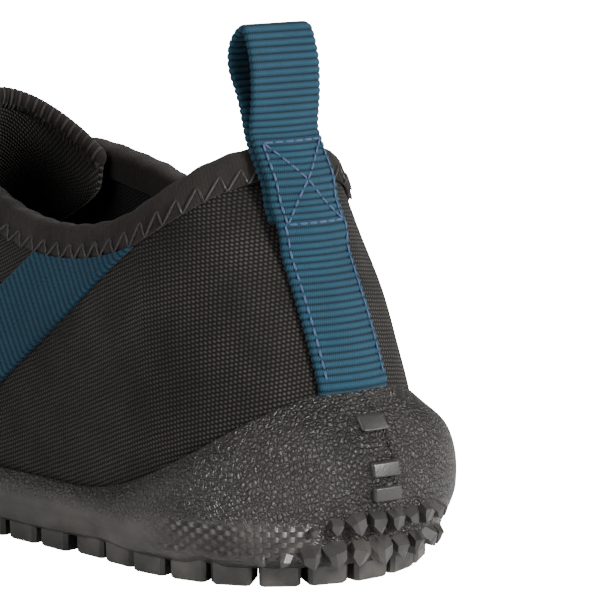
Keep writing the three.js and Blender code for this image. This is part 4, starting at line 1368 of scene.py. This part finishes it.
def instep_cuff():
    share, across = np.meshgrid(np.linspace(0, 0.955, 110), np.linspace(-1, 1, 90), indexing="ij")
    middle = instep_at(share, across)
    facing = instep_facing(share, across)
    edge = 1 - 0.5 * smooth(np.abs(across), 0.94, 1)
    outer = middle + facing * (1.3 * edge)[..., None]
    inner = middle - facing * (1.3 * edge)[..., None]
    uv = np.stack([arc_along(middle, axis=1), arc_along(middle, axis=0)], -1)
    cloth = layer_piece("instep_panel_cloth", outer, inner, [KNIT, INNER], uv, uv, 1)
    return dress(cloth, "knit", "instep_panel")


def rolled_hem():
    rows, columns = 420, 22
    across = np.linspace(-1, 1, rows)
    middle = instep_at(np.full(rows, 0.965), across)
    facing = instep_facing(np.full(rows, 0.965), across)
    up = unit(instep_at(np.full(rows, 0.99), across) - instep_at(np.full(rows, 0.94), across))
    run = arc_along(middle)
    angle = np.linspace(0, 2 * math.pi, columns + 1)[:-1]
    ribs = 0.22 * np.abs(np.sin(run * math.pi / 1.25))
    close = np.sqrt(np.clip(1 - ((np.abs(across) - 0.965) / 0.035).clip(0) ** 2, 0.04, 1))
    tall = (2.5 + ribs * 0.4) * close
    thick = (1.85 + ribs) * close
    points = (
        middle[:, None]
        + up[:, None] * (tall[:, None] * np.sin(angle))[..., None]
        + facing[:, None] * (thick[:, None] * np.cos(angle))[..., None]
    )
    uv = np.stack(np.broadcast_arrays(angle[None, :] * 2.4, run[:, None]), -1)
    return dress(tube_piece("rolled_hem", points, [HEM], uv), "stretch", "instep_hem")


cuff = instep_cuff()
hem = rolled_hem()

# ---------- heel lining and what lies under the foot ----------


def heel_lining():
    place = np.broadcast_to(np.linspace(5.4, -5.4, 240)[:, None], (240, 70))
    low = rise_at(place[:, 0], 14.8)[:, None]
    high = below_top(place[:, 0], 2.0)[:, None]
    share = np.linspace(0, 1, 70)[None, :]
    rise = lerp(low, high, share)
    bare = skin(place, rise)
    run = arc_along(bare[:, 50])[:, None]
    gathers = 0.3 * np.sin(run * 2 * math.pi / 5.3 + 2 * np.sin(run * 0.11)) * smooth(share, 0.55, 0.9)
    face = on_skin(place, rise, -5.4 - gathers * 0.5 - soft_relief(bare, 0.3) * 0.4)
    back = on_skin(place, rise, np.full(place.shape, -4.6))
    uv = np.stack([np.broadcast_to(run, rise.shape), arc_along(bare, axis=1)], -1)
    lining = layer_piece("heel_lining_cloth", back, face, [INNER], uv)
    return dress(lining, "lining", "heel_lining")


lining = heel_lining()
for node, finish in (
    ("midsole_foam", FOAM),
    ("insole_foam", FOAM),
    ("strobel_board", BOARD),
    ("heel_counter", COUNTER),
    ("insole_cloth", INSOLE_CLOTH),
):
    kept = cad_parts[node]
    for slot in kept.material_slots:
        slot.material = finish
bpy.data.objects.remove(STITCH)

# ---------- floor, light and camera ----------


def studio():
    bpy.ops.mesh.primitive_plane_add(size=12, location=(0, 0, -0.0004))
    floor = bpy.context.object
    floor.name = "studio_floor"
    white, tree, shader, _, _ = start_material("pale floor", 0.8)
    shader.inputs["Base Color"].default_value = (0.9, 0.9, 0.9, 1)
    shader.inputs["Emission Color"].default_value = (1, 1, 1, 1)
    seen = tree.nodes.new("ShaderNodeLightPath").outputs["Is Camera Ray"]
    tree.links.new(calc(tree, "MULTIPLY", seen, 22.0), shader.inputs["Emission Strength"])
    below = tree.nodes.new("ShaderNodeNewGeometry").outputs["Backfacing"]
    clear = tree.nodes.new("ShaderNodeBsdfTransparent").outputs[0]
    mix = put(tree, "ShaderNodeMixShader", {0: below, 1: shader.outputs[0], 2: clear})
    tree.links.new(mix.outputs[0], tree.nodes["Material Output"].inputs["Surface"])
    floor.data.materials.append(white)
    world = bpy.data.worlds.new("studio air")
    bpy.context.scene.world = world
    world.use_nodes = True
    air = world.node_tree
    ray = air.nodes.new("ShaderNodeLightPath").outputs["Is Camera Ray"]
    glow = air.nodes["Background"]
    glow.inputs["Color"].default_value = (1, 1, 1, 1)
    air.links.new(calc(air, "MULTIPLY_ADD", ray, 24.0, 0.12), glow.inputs["Strength"])
    lamps = (
        ("key softbox", (-0.26, 1.05, 0.44), (0, 0.12, 0.03), 0.3, 18.0),
        ("side softbox", (0.85, 0.15, 0.45), (0, 0.03, 0.05), 0.5, 4.5),
        ("rim softbox", (-0.75, 0.6, 0.45), (0, 0.08, 0.05), 0.5, 4.0),
        ("front softbox", (0.2, -0.8, 0.5), (0, -0.05, 0.04), 0.7, 1.6),
        ("top softbox", (0.0, 0.05, 1.0), (0, 0.05, 0.03), 0.8, 1.8),
    )
    for name, spot, aim, size, power in lamps:
        light = bpy.data.lights.new(name, "AREA")
        light.size = size
        light.energy = power
        lamp = new_object(name, light)
        lamp.location = spot
        lamp.rotation_euler = (Vector(aim) - Vector(spot)).to_track_quat("-Z", "Y").to_euler()


def camera():
    lens = bpy.data.cameras.new("camera")
    lens.lens = 205.8
    lens.sensor_width = 36
    eye = new_object("camera", lens)
    eye.location = (0.4520, 0.6484, 0.1662)
    aim = Vector((0.0076, 0.1187, 0.0568))
    eye.rotation_euler = (aim - eye.location).to_track_quat("-Z", "Y").to_euler()
    bpy.context.scene.camera = eye


studio()
camera()
